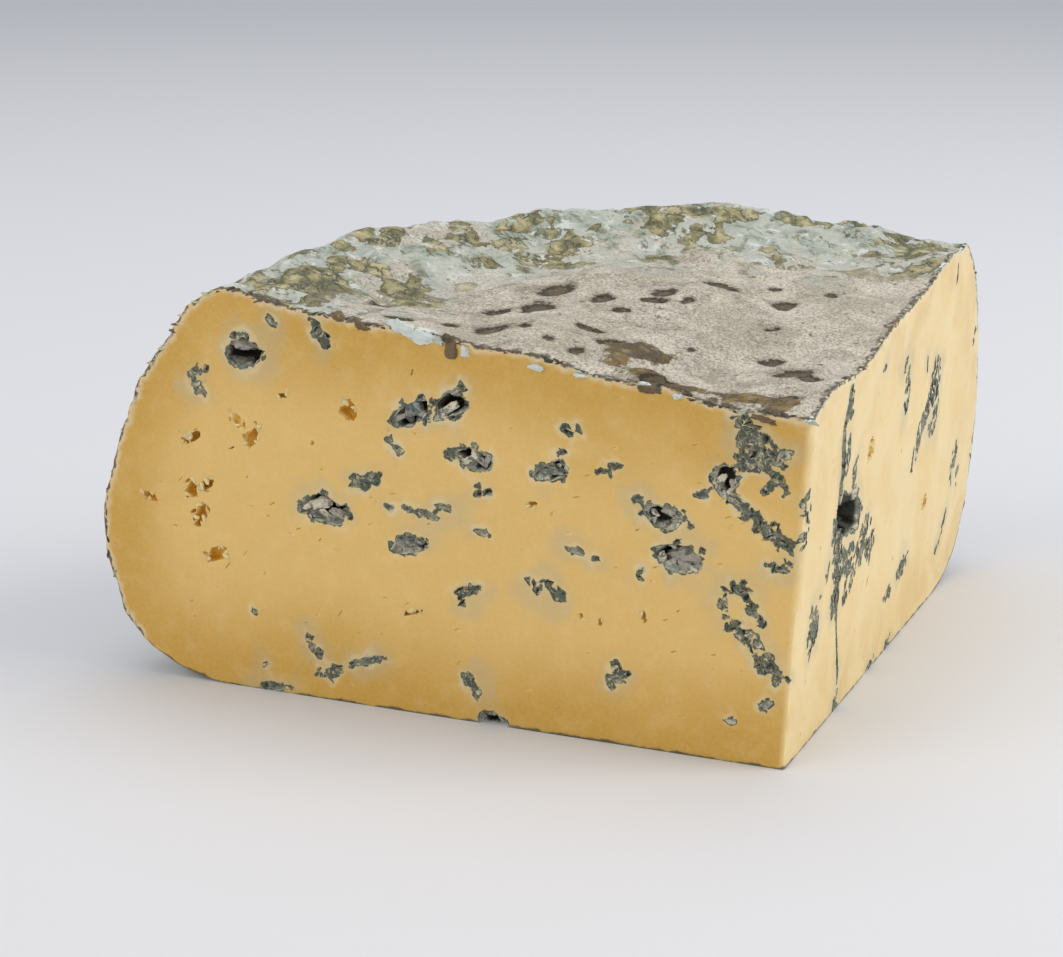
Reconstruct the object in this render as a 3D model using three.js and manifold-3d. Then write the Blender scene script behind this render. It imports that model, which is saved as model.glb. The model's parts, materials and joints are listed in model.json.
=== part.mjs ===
// A quarter of a soft blue cheese wheel, in millimetres, +Z up.
//
// The wheel's axis is the quarter's sharp corner. The front cut runs from the corner along -X, the
// right cut runs from it along +Y, and the rind goes over the top, round the rim and under.
// The wheel has slumped: its top is dished, its rim bulges low down, and mould has opened hollows
// in the paste that both cuts run through.

import * as THREE from 'three';
import { mergeVertices } from 'three/addons/utils/BufferGeometryUtils.js';
import Module from 'manifold-3d';

// Wheel sizes
const WHEEL_RADIUS = 90;
const QUARTER_ANGLE = THREE.MathUtils.degToRad(89);
const BULGE_HEIGHT = 20.8;

// The shoulder above the bulge is wide and rather straight, the turn below it is fuller
const SHOULDER_WIDTH = 18.2;
const SHOULDER_POWER = 1.53;
const FOOT_WIDTH = 20.6;
const FOOT_POWER = 2.66;

// Heights of the top: low at the corner, rising to the rim, highest between the two cuts
const CORNER_TOP = 42.0;
const CORNER_DROOP = 1.2;
const CORNER_DROOP_WIDTH = 7;
const RIM_TOP_AT_CUTS = 50.0;
const RIM_TOP_SWELL = 3.4;
const DISH_POWER = 1.4;

// The corner edge and the right cut lean outwards towards the top
const LEAN_AT_TOP = 2.3;
const LEAN_HEIGHT = 45;

// Waves of the slumped rind
const RIND_WAVES = 6;
const RIND_LONGEST_WAVE = 42;
const RIND_WAVE_RATIO = 0.78;
const RIND_WAVE_HEIGHT = 0.5;
const RIM_WAVE_DEPTH = 0.45;
const GOLDEN_ANGLE = 2.39996;

// A fold that runs along the back of the top, just inside the rim, with a dip in front of it
const FOLD_RADIUS = 70;
const FOLD_WIDTH = 5;
const FOLD_HEIGHT = 0.8;
const DIP_RADIUS = 60;
const DIP_WIDTH = 7;
const DIP_DEPTH = 1.6;

// How finely the body is divided
const RADIAL_STEPS = 24;
const ANGLE_STEPS = 26;

// Hollows in the front cut: distance from the corner and height of the middle, then length,
// width, turn in degrees and depth
const FRONT_HOLLOWS = [
  { name: 'hole under the shoulder', from: 69.2, up: 42.4, long: 6.4, wide: 4.4, turn: -18, deep: 4.5 },
  { name: 'small hollow by it', from: 75.9, up: 38.4, long: 4.0, wide: 3.0, turn: 60, deep: 2.2 },
  { name: 'crack under the rind', from: 58.9, up: 45.6, long: 4.4, wide: 1.7, turn: -52, deep: 2.4 },
  { name: 'largest hollow, left end', from: 46.6, up: 37.1, long: 6.2, wide: 3.6, turn: 24, deep: 4.2 },
  { name: 'largest hollow, right end', from: 41.8, up: 38.4, long: 6.0, wide: 3.8, turn: 38, deep: 4.6 },
  { name: 'hollow right of the largest', from: 39.2, up: 32.4, long: 6.4, wide: 3.2, turn: -8, deep: 3.2 },
  { name: 'round hollow below it', from: 37.8, up: 28.7, long: 2.1, wide: 1.7, turn: 0, deep: 1.6 },
  { name: 'arched hollow', from: 53.3, up: 28.3, long: 4.8, wide: 2.2, turn: 12, deep: 1.8 },
  { name: 'long hollow left of the middle', from: 58.6, up: 24.2, long: 8.4, wide: 4.0, turn: -6, deep: 3.8 },
  { name: 'almond hollow', from: 29.0, up: 31.8, long: 5.2, wide: 2.5, turn: 10, deep: 3.0 },
  { name: 'small ring hollow', from: 26.4, up: 37.1, long: 2.3, wide: 1.6, turn: -15, deep: 1.2 },
  { name: 'second ring hollow', from: 22.0, up: 32.9, long: 3.0, wide: 1.7, turn: -8, deep: 1.4 },
  { name: 'curled hollow', from: 14.9, up: 28.1, long: 6.4, wide: 3.4, turn: -12, deep: 2.6 },
  { name: 'grey pocket', from: 13.2, up: 23.5, long: 7.2, wide: 4.0, turn: 4, deep: 3.4 },
  { name: 'pocket by the corner', from: 7.9, up: 33.0, long: 4.4, wide: 3.6, turn: 50, deep: 2.8 },
  { name: 'crumbled top corner', from: 4.4, up: 37.6, long: 6.6, wide: 4.6, turn: -28, deep: 2.0 },
  { name: 'hollow under it', from: 2.6, up: 33.5, long: 2.6, wide: 2.2, turn: 30, deep: 1.4 },
  { name: 'thin hollow left of the middle', from: 45.4, up: 25.2, long: 4.6, wide: 1.2, turn: -10, deep: 1.3 },
  { name: 'hollow below the thin one', from: 47.5, up: 21.1, long: 6.0, wide: 2.6, turn: 14, deep: 2.8 },
  { name: 'short slit', from: 37.9, up: 23.6, long: 2.2, wide: 0.9, turn: -12, deep: 1.0 },
  { name: 'small patch low down', from: 39.7, up: 15.8, long: 3.5, wide: 2.3, turn: 28, deep: 1.8 },
  { name: 'leaf-shaped hollow', from: 29.6, up: 17.8, long: 5.6, wide: 1.9, turn: -22, deep: 2.0 },
  { name: 'slit right of the middle', from: 25.9, up: 22.8, long: 2.7, wide: 1.0, turn: -12, deep: 1.0 },
  { name: 'torn hollow near the foot', from: 20.4, up: 8.6, long: 4.2, wide: 2.2, turn: 62, deep: 1.8 },
  { name: 'ring by the corner', from: 5.7, up: 18.8, long: 5.4, wide: 4.2, turn: -60, deep: 2.4 },
  { name: 'patch below the ring', from: 3.9, up: 14.6, long: 5.2, wide: 2.8, turn: -34, deep: 2.4 },
  { name: 'patch near the corner foot', from: 1.8, up: 11.3, long: 3.8, wide: 3.0, turn: -20, deep: 2.0 },
  { name: 'vein near the left foot', from: 59.5, up: 6.0, long: 4.6, wide: 1.8, turn: -40, deep: 1.6 },
  { name: 'hollow at the left foot', from: 58.2, up: 3.5, long: 4.2, wide: 2.6, turn: -16, deep: 1.8 },
  { name: 'hollow at the middle foot', from: 39.4, up: 4.9, long: 4.0, wide: 2.6, turn: -58, deep: 2.0 },
  { name: 'notch under the front edge', from: 36.4, up: 0.4, long: 4.4, wide: 2.6, turn: -12, deep: 3.2 },
];

// Openings in the front cut that no mould has reached, with sharp torn edges
const FRONT_TEARS = [
  { name: 'curved tear', from: 77.1, up: 31.0, long: 3.6, wide: 1.9, turn: 48, deep: 1.6 },
  { name: 'pair of tears', from: 69.3, up: 33.0, long: 4.8, wide: 2.5, turn: -46, deep: 2.0 },
  { name: 'square tear', from: 55.3, up: 36.7, long: 3.0, wide: 2.1, turn: -30, deep: 2.4 },
  { name: 'tear near the rim', from: 83.4, up: 23.1, long: 2.8, wide: 1.1, turn: -14, deep: 1.4 },
  { name: 'upper part of the large tear', from: 76.6, up: 24.6, long: 3.8, wide: 1.6, turn: 18, deep: 2.0 },
  { name: 'lower part of the large tear', from: 76.4, up: 21.7, long: 3.6, wide: 1.7, turn: 62, deep: 2.2 },
  { name: 'low tear', from: 74.0, up: 16.8, long: 4.0, wide: 1.5, turn: 14, deep: 1.8 },
  { name: 'small tear', from: 31.4, up: 27.7, long: 1.5, wide: 0.9, turn: 0, deep: 1.2 },
  { name: 'long thin tear', from: 47.0, up: 12.6, long: 3.8, wide: 0.9, turn: 14, deep: 1.0 },
];

// Hollows in the right cut, placed in the same way along +Y
const RIGHT_HOLLOWS = [
  { name: 'hollow on the fissure', from: 20.0, up: 24.6, long: 9.5, wide: 5.2, turn: 62, deep: 4.8 },
  { name: 'its lower end', from: 15.8, up: 20.4, long: 5.6, wide: 3.2, turn: 80, deep: 2.8 },
  { name: 'foot of the fissure', from: 21.4, up: 0.6, long: 3.4, wide: 2.6, turn: 90, deep: 2.4 },
  { name: 'patch right of it', from: 30.4, up: 19.3, long: 8.2, wide: 3.6, turn: 24, deep: 2.2 },
  { name: 'small patch below', from: 24.8, up: 16.3, long: 4.6, wide: 2.2, turn: 50, deep: 1.6 },
  { name: 'patch by the corner', from: 8.0, up: 15.1, long: 5.2, wide: 3.2, turn: 40, deep: 2.0 },
  { name: 'low vein', from: 47.0, up: 8.8, long: 9.0, wide: 2.8, turn: 12, deep: 2.0 },
  { name: 'low vein near the rim', from: 70.5, up: 6.6, long: 7.6, wide: 1.8, turn: 22, deep: 1.4 },
  { name: 'upright vein near the rim', from: 73.8, up: 17.4, long: 6.4, wide: 2.6, turn: 84, deep: 1.6 },
  { name: 'vein high up', from: 57.8, up: 31.2, long: 7.4, wide: 3.0, turn: 46, deep: 2.4 },
  { name: 'middle of that vein', from: 53.0, up: 27.6, long: 5.4, wide: 2.8, turn: 64, deep: 2.2 },
  { name: 'foot of that vein', from: 52.4, up: 24.2, long: 4.8, wide: 2.2, turn: 30, deep: 1.8 },
  { name: 'small vein under the rind', from: 42.8, up: 38.2, long: 3.2, wide: 1.7, turn: 70, deep: 1.2 },
  { name: 'second small vein', from: 37.0, up: 35.4, long: 3.4, wide: 1.8, turn: 74, deep: 1.2 },
  { name: 'clean tear', from: 28.2, up: 30.9, long: 3.4, wide: 1.5, turn: 20, deep: 1.4 },
];

// Notches that the rim edge of the right cut shows
const RIGHT_EDGE_NOTCHES = [
  { name: 'upper notch', from: 83.2, up: 34.6, long: 3.2, wide: 1.8, turn: 70, deep: 1.4 },
  { name: 'lower notch', from: 88.6, up: 12.4, long: 3.0, wide: 1.6, turn: 90, deep: 1.2 },
];

// The fissure that runs down the right cut from the rind, and how wide it gapes on the way
const FISSURE_PATH = [
  { from: 17.2, up: 46.5, gap: 1.9 },
  { from: 16.3, up: 43.2, gap: 1.4 },
  { from: 15.0, up: 37.0, gap: 1.0 },
  { from: 15.5, up: 32.2, gap: 0.9 },
  { from: 15.6, up: 27.4, gap: 1.3 },
  { from: 15.8, up: 21.0, gap: 1.0 },
  { from: 18.8, up: 12.0, gap: 0.6 },
  { from: 20.8, up: 3.6, gap: 0.5 },
];
const FISSURE_DEPTH = 4.2;

// The vein that runs down the front cut to the corner edge
const CORNER_VEIN_PATH = [
  { from: 8.2, up: 31.6, gap: 0.5 },
  { from: 5.6, up: 29.9, gap: 1.5 },
  { from: 2.8, up: 28.2, gap: 1.3 },
  { from: -0.4, up: 26.4, gap: 0.8 },
];
const CORNER_VEIN_DEPTH = 1.6;

// Oval pits in the rind of the top: distance from the axis, angle from the front cut in degrees,
// length, width and depth
const RIND_PITS = [
  { out: 31, at: 23, long: 5.0, wide: 2.6, deep: 0.9 },
  { out: 37, at: 38, long: 6.0, wide: 3.0, deep: 1.0 },
  { out: 45, at: 27, long: 5.0, wide: 2.8, deep: 0.9 },
  { out: 26, at: 60, long: 4.4, wide: 2.4, deep: 0.8 },
  { out: 42, at: 63, long: 4.2, wide: 2.6, deep: 0.8 },
  { out: 14, at: 48, long: 4.6, wide: 2.6, deep: 0.8 },
  { out: 58, at: 14, long: 6.0, wide: 3.2, deep: 1.0 },
  { out: 60, at: 34, long: 5.2, wide: 3.4, deep: 1.0 },
  { out: 66, at: 68, long: 5.0, wide: 3.0, deep: 0.9 },
];

// Hollows' uneven walls
const LARGE_HOLLOW = 6.1;
const SMALL_HOLLOW = 3.9;
const HOLLOW_UNEVENNESS = 0.24;
const TEAR_UNEVENNESS = 0.34;
const RIND_UNEVENNESS = 0.15;

// Finish of the cut paste
const PASTE_COLOUR = 0xd6b878;
const PASTE_ROUGHNESS = 0.5;

const wasm = await Module();
wasm.setup();

function mix(a, b, share) {
  return a + (b - a) * share;
}

function bell(distance, width) {
  return Math.exp(-((distance / width) ** 2));
}

// 0 at the two cuts and 1 half-way between them
function betweenCuts(angle) {
  return Math.sin((Math.PI * angle) / QUARTER_ANGLE);
}

// Waves in several directions, each shorter and lower than the one before
function rindWaves(x, y) {
  let height = 0;
  let length = RIND_LONGEST_WAVE;
  let share = 1;
  for (let wave = 0; wave < RIND_WAVES; wave += 1) {
    const heading = wave * GOLDEN_ANGLE;
    const along = x * Math.cos(heading) + y * Math.sin(heading);
    height += share * Math.sin((2 * Math.PI * along) / length + wave * 1.7);
    length *= RIND_WAVE_RATIO;
    share *= RIND_WAVE_RATIO;
  }
  return height * RIND_WAVE_HEIGHT;
}

// Height of the rind's upper side at a distance from the axis and an angle from the front cut
function topHeight(radius, angle) {
  const rimTop = RIM_TOP_AT_CUTS + RIM_TOP_SWELL * betweenCuts(angle);
  const shoulderStart = WHEEL_RADIUS - SHOULDER_WIDTH;
  if (radius > shoulderStart) {
    const across = Math.min(1, (radius - shoulderStart) / SHOULDER_WIDTH);
    const fall = (1 - across ** SHOULDER_POWER) ** (1 / SHOULDER_POWER);
    return mix(BULGE_HEIGHT, rimTop, fall);
  }
  const droop = CORNER_DROOP * bell(radius, CORNER_DROOP_WIDTH);
  return mix(CORNER_TOP, rimTop, (radius / shoulderStart) ** DISH_POWER) - droop;
}

// Height of the underside: flat, then turning up to the bulge
function footHeight(radius) {
  const flatEnd = WHEEL_RADIUS - FOOT_WIDTH;
  if (radius <= flatEnd) {
    return 0;
  }
  const across = Math.min(1, (radius - flatEnd) / FOOT_WIDTH);
  return BULGE_HEIGHT * (1 - (1 - across ** FOOT_POWER) ** (1 / FOOT_POWER));
}

// Fold and dip of the top, which fade out at the two cuts
function topRelief(radius, angle) {
  const fold = FOLD_HEIGHT * bell(radius - FOLD_RADIUS, FOLD_WIDTH);
  const dip = DIP_DEPTH * bell(radius - DIP_RADIUS, DIP_WIDTH);
  const fadeAtRim = 1 - (radius / WHEEL_RADIUS) ** 8;
  const x = -radius * Math.cos(angle);
  const y = radius * Math.sin(angle);
  return betweenCuts(angle) * (fold - dip) + fadeAtRim * rindWaves(x, y);
}

// The point at a distance from the axis, an angle from the front cut and a height, with the lean
function placed(radius, angle, height) {
  const turn = angle / QUARTER_ANGLE;
  const share = mix(1 - radius / WHEEL_RADIUS, 1, turn);
  const lean = (LEAN_AT_TOP * height * share) / LEAN_HEIGHT;
  const outward = (radius / WHEEL_RADIUS) ** 4 * RIM_WAVE_DEPTH;
  const rimWave = outward * Math.sin(11 * angle + height / 7) * Math.sin(5 * angle + 1);
  const reach = radius + rimWave;
  return [-reach * Math.cos(angle) + lean, reach * Math.sin(angle), height];
}

function geometryFrom(points, triangles) {
  const geometry = new THREE.BufferGeometry();
  geometry.setAttribute('position', new THREE.Float32BufferAttribute(points.flat(), 3));
  geometry.setIndex(triangles.flat());
  return geometry;
}

// The uncut quarter: an upper and a lower sheet that meet at the bulge, closed by the two cuts
function quarterGeometry() {
  const points = [];
  const triangles = [];
  const upper = [];
  const lower = [];
  for (let step = 0; step <= RADIAL_STEPS; step += 1) {
    const radius = WHEEL_RADIUS * Math.sin(((Math.PI / 2) * step) / RADIAL_STEPS);
    upper.push([]);
    lower.push([]);
    for (let turn = 0; turn <= ANGLE_STEPS; turn += 1) {
      const angle = (QUARTER_ANGLE * turn) / ANGLE_STEPS;
      const atAxis = step === 0 && turn > 0;
      const atBulge = step === RADIAL_STEPS;
      if (atAxis) {
        upper[step].push(upper[0][0]);
        lower[step].push(lower[0][0]);
        continue;
      }
      const relief = atBulge ? 0 : topRelief(radius, angle);
      upper[step].push(points.length);
      points.push(placed(radius, angle, topHeight(radius, angle) + relief));
      if (atBulge) {
        lower[step].push(upper[step][turn]);
        continue;
      }
      lower[step].push(points.length);
      points.push(placed(radius, angle, footHeight(radius)));
    }
  }

  function quad(a, b, c, d) {
    if (a !== b && b !== c && a !== c) {
      triangles.push([a, b, c]);
    }
    if (a !== c && c !== d && a !== d) {
      triangles.push([a, c, d]);
    }
  }

  for (let step = 0; step < RADIAL_STEPS; step += 1) {
    for (let turn = 0; turn < ANGLE_STEPS; turn += 1) {
      quad(upper[step][turn], upper[step][turn + 1], upper[step + 1][turn + 1], upper[step + 1][turn]);
      quad(lower[step][turn], lower[step + 1][turn], lower[step + 1][turn + 1], lower[step][turn + 1]);
    }
    quad(upper[step][0], upper[step + 1][0], lower[step + 1][0], lower[step][0]);
    const last = ANGLE_STEPS;
    quad(upper[step][last], lower[step][last], lower[step + 1][last], upper[step + 1][last]);
  }
  return geometryFrom(points, triangles);
}

// An uneven ball of radius 1, whose bumps depend on its number
function unevenBall(number, detail, unevenness) {
  const ball = new THREE.IcosahedronGeometry(1, detail);
  ball.deleteAttribute('normal');
  ball.deleteAttribute('uv');
  const merged = mergeVertices(ball);
  const position = merged.attributes.position;
  const point = new THREE.Vector3();
  for (let index = 0; index < position.count; index += 1) {
    point.fromBufferAttribute(position, index);
    const wave =
      Math.sin(4.1 * point.x + 2.3 * number) +
      Math.sin(5.3 * point.y + 1.9 * number + 2 * point.z) +
      Math.sin(6.7 * point.z + 3.1 * number + 3 * point.x);
    point.multiplyScalar(1 + (unevenness * wave) / 3);
    position.setXYZ(index, point.x, point.y, point.z);
  }
  return merged;
}

function detailFor(long) {
  if (long > LARGE_HOLLOW) {
    return 3;
  }
  return long > SMALL_HOLLOW ? 2 : 1;
}

// A ball stretched to a hollow's length, width and depth and turned in the plane of its cut, with
// X along the cut, Y up and Z out of the cheese
function hollowGeometry(hollow, number, unevenness) {
  const geometry = unevenBall(number, detailFor(hollow.long), unevenness);
  geometry.scale(hollow.long / 2, hollow.wide / 2, hollow.deep);
  geometry.rotateZ(THREE.MathUtils.degToRad(hollow.turn));
  return geometry;
}

// A wedge-shaped gap that follows a path in the plane of a cut, with its sharp edge inside
function crackGeometry(path, depth) {
  const points = [];
  const triangles = [];
  path.forEach((stop, index) => {
    const isEnd = index === 0 || index === path.length - 1;
    const inside = isEnd ? depth / 2 : depth;
    points.push([stop.along - stop.gap / 2, stop.up, 0.5]);
    points.push([stop.along + stop.gap / 2, stop.up, 0.5]);
    points.push([stop.along, stop.up, -inside]);
  });
  for (let index = 0; index < path.length - 1; index += 1) {
    const here = index * 3;
    const next = here + 3;
    for (let side = 0; side < 3; side += 1) {
      const other = (side + 1) % 3;
      triangles.push([here + side, next + side, next + other]);
      triangles.push([here + side, next + other, here + other]);
    }
  }
  const end = (path.length - 1) * 3;
  triangles.push([0, 1, 2]);
  triangles.push([end, end + 2, end + 1]);
  return geometryFrom(points, triangles);
}

// Places a shape made in the plane of a cut on the front cut
function onFrontCut(geometry) {
  const toFront = new THREE.Matrix4().makeBasis(
    new THREE.Vector3(1, 0, 0),
    new THREE.Vector3(0, 0, 1),
    new THREE.Vector3(0, -1, 0),
  );
  return geometry.applyMatrix4(toFront);
}

// Places a shape made in the plane of a cut on the right cut, which leans
function onRightCut(geometry) {
  const slope = LEAN_AT_TOP / LEAN_HEIGHT;
  const across = Math.cos(QUARTER_ANGLE);
  const along = Math.sin(QUARTER_ANGLE);
  const toRight = new THREE.Matrix4().makeBasis(
    new THREE.Vector3(-across, along, 0),
    new THREE.Vector3(slope, 0, 1),
    new THREE.Vector3(along, across, 0),
  );
  return geometry.applyMatrix4(toRight);
}

function solidFrom(geometry) {
  const vertProperties = new Float32Array(geometry.attributes.position.array);
  const triVerts = new Uint32Array(geometry.index.array);
  return new wasm.Manifold(new wasm.Mesh({ numProp: 3, vertProperties, triVerts }));
}

function geometryOf(solid) {
  const mesh = solid.getMesh();
  const geometry = new THREE.BufferGeometry();
  geometry.setAttribute('position', new THREE.BufferAttribute(mesh.vertProperties, 3));
  geometry.setIndex(new THREE.BufferAttribute(mesh.triVerts, 1));
  return geometry;
}

function frontHollow(hollow, number, unevenness) {
  const geometry = hollowGeometry(hollow, number, unevenness);
  geometry.translate(-hollow.from, hollow.up, 0);
  return onFrontCut(geometry);
}

function rightHollow(hollow, number, unevenness) {
  const geometry = hollowGeometry(hollow, number, unevenness);
  geometry.translate(hollow.from, hollow.up, 0);
  return onRightCut(geometry);
}

function rindPit(pit, number) {
  const angle = THREE.MathUtils.degToRad(pit.at);
  const height = topHeight(pit.out, angle) + topRelief(pit.out, angle);
  const [x, y, z] = placed(pit.out, angle, height);
  const geometry = unevenBall(number, 1, RIND_UNEVENNESS);
  geometry.scale(pit.long / 2, pit.wide / 2, pit.deep);
  geometry.translate(x, y, z);
  return geometry;
}

function allOpenings() {
  const fissure = FISSURE_PATH.map((stop) => ({ along: stop.from, up: stop.up, gap: stop.gap }));
  const vein = CORNER_VEIN_PATH.map((stop) => ({ along: -stop.from, up: stop.up, gap: stop.gap }));
  return [
    ...FRONT_HOLLOWS.map((hollow, index) => frontHollow(hollow, index, HOLLOW_UNEVENNESS)),
    ...FRONT_TEARS.map((tear, index) => frontHollow(tear, index, TEAR_UNEVENNESS)),
    ...RIGHT_HOLLOWS.map((hollow, index) => rightHollow(hollow, index, HOLLOW_UNEVENNESS)),
    ...RIGHT_EDGE_NOTCHES.map((notch, index) => rightHollow(notch, index, HOLLOW_UNEVENNESS)),
    onRightCut(crackGeometry(fissure, FISSURE_DEPTH)),
    onFrontCut(crackGeometry(vein, CORNER_VEIN_DEPTH)),
    ...RIND_PITS.map((pit, index) => rindPit(pit, index)),
  ];
}

function cheeseGeometry() {
  let solid = solidFrom(quarterGeometry());
  for (const opening of allOpenings()) {
    solid = solid.subtract(solidFrom(opening));
  }
  return geometryOf(solid);
}

const paste = new THREE.MeshStandardMaterial({
  color: PASTE_COLOUR,
  roughness: PASTE_ROUGHNESS,
  metalness: 0,
});

const cheese = new THREE.Mesh(cheeseGeometry(), paste);
cheese.name = 'cheese';

// The origin is under the middle of the piece, on the surface that it rests on
const box = new THREE.Box3().setFromObject(cheese);
const middle = box.getCenter(new THREE.Vector3());
const quarter = new THREE.Group();
quarter.add(cheese);
quarter.position.set(-middle.x, -middle.y, -box.min.z);
quarter.updateMatrixWorld(true);

export default quarter;
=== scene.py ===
"""A quarter of a soft blue cheese wheel, resting on a plain pale floor.

The wheel frame, in millimetres, has its origin at the foot of the quarter's sharp corner, on the
wheel's axis. The front cut runs from there along -X and the right cut along +Y.
"""

import json
import math
import random

import bmesh
import bpy
import numpy as np
from mathutils import Matrix, Vector, kdtree, noise

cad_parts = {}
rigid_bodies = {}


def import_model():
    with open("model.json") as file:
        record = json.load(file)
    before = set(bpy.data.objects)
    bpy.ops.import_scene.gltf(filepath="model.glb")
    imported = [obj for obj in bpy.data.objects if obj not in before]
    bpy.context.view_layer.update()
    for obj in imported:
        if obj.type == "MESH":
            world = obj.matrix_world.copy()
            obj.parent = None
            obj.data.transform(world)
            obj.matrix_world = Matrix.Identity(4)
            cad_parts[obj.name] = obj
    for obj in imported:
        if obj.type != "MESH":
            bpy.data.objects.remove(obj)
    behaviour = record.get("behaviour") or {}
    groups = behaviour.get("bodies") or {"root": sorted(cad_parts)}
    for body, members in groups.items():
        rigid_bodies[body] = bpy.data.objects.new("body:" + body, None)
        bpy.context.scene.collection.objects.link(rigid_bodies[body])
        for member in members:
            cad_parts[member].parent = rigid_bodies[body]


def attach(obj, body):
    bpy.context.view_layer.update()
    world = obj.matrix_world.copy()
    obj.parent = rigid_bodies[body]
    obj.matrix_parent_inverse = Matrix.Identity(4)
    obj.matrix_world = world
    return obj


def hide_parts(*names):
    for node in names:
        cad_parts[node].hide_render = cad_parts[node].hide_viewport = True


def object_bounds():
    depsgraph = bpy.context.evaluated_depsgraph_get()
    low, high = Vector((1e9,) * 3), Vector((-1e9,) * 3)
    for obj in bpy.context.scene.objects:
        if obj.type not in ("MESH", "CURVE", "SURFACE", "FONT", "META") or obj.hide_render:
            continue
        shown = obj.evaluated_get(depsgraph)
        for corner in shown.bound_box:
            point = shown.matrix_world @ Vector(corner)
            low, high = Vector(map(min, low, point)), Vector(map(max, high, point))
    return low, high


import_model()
cad_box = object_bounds()

MM = 0.001

# Wheel sizes in millimetres, as in the solid
WHEEL_RADIUS = 90.0
QUARTER_ANGLE = math.radians(89)
BULGE_HEIGHT = 20.8
SHOULDER_WIDTH = 18.2
SHOULDER_POWER = 1.53
FOOT_WIDTH = 20.6
FOOT_POWER = 2.66
CORNER_TOP = 42.0
CORNER_DROOP = 1.2
CORNER_DROOP_WIDTH = 7.0
RIM_TOP_AT_CUTS = 50.0
RIM_TOP_SWELL = 3.4
DISH_POWER = 1.4
LEAN_AT_TOP = 2.3
LEAN_HEIGHT = 45.0

# Waves, fold and dip of the slumped top
RIND_WAVES = 6
RIND_LONGEST_WAVE = 42.0
RIND_WAVE_RATIO = 0.78
RIND_WAVE_HEIGHT = 0.5
RIM_WAVE_DEPTH = 0.45
GOLDEN_ANGLE = 2.39996
FOLD_RADIUS, FOLD_WIDTH, FOLD_HEIGHT = 70.0, 5.0, 0.8
DIP_RADIUS, DIP_WIDTH, DIP_DEPTH = 60.0, 7.0, 1.6

# How finely the body is divided, from the sharp corner outwards and from foot to top
PLAN_STEPS = 112
HEIGHT_STEPS = 54

# Mould hollows at least this deep stand open; shallower ones are crowds of small pits
OPEN_HOLLOW_DEPTH = 2.6

# Material places on the body
PASTE, RIND, MOULD, TORN = range(4)

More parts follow.
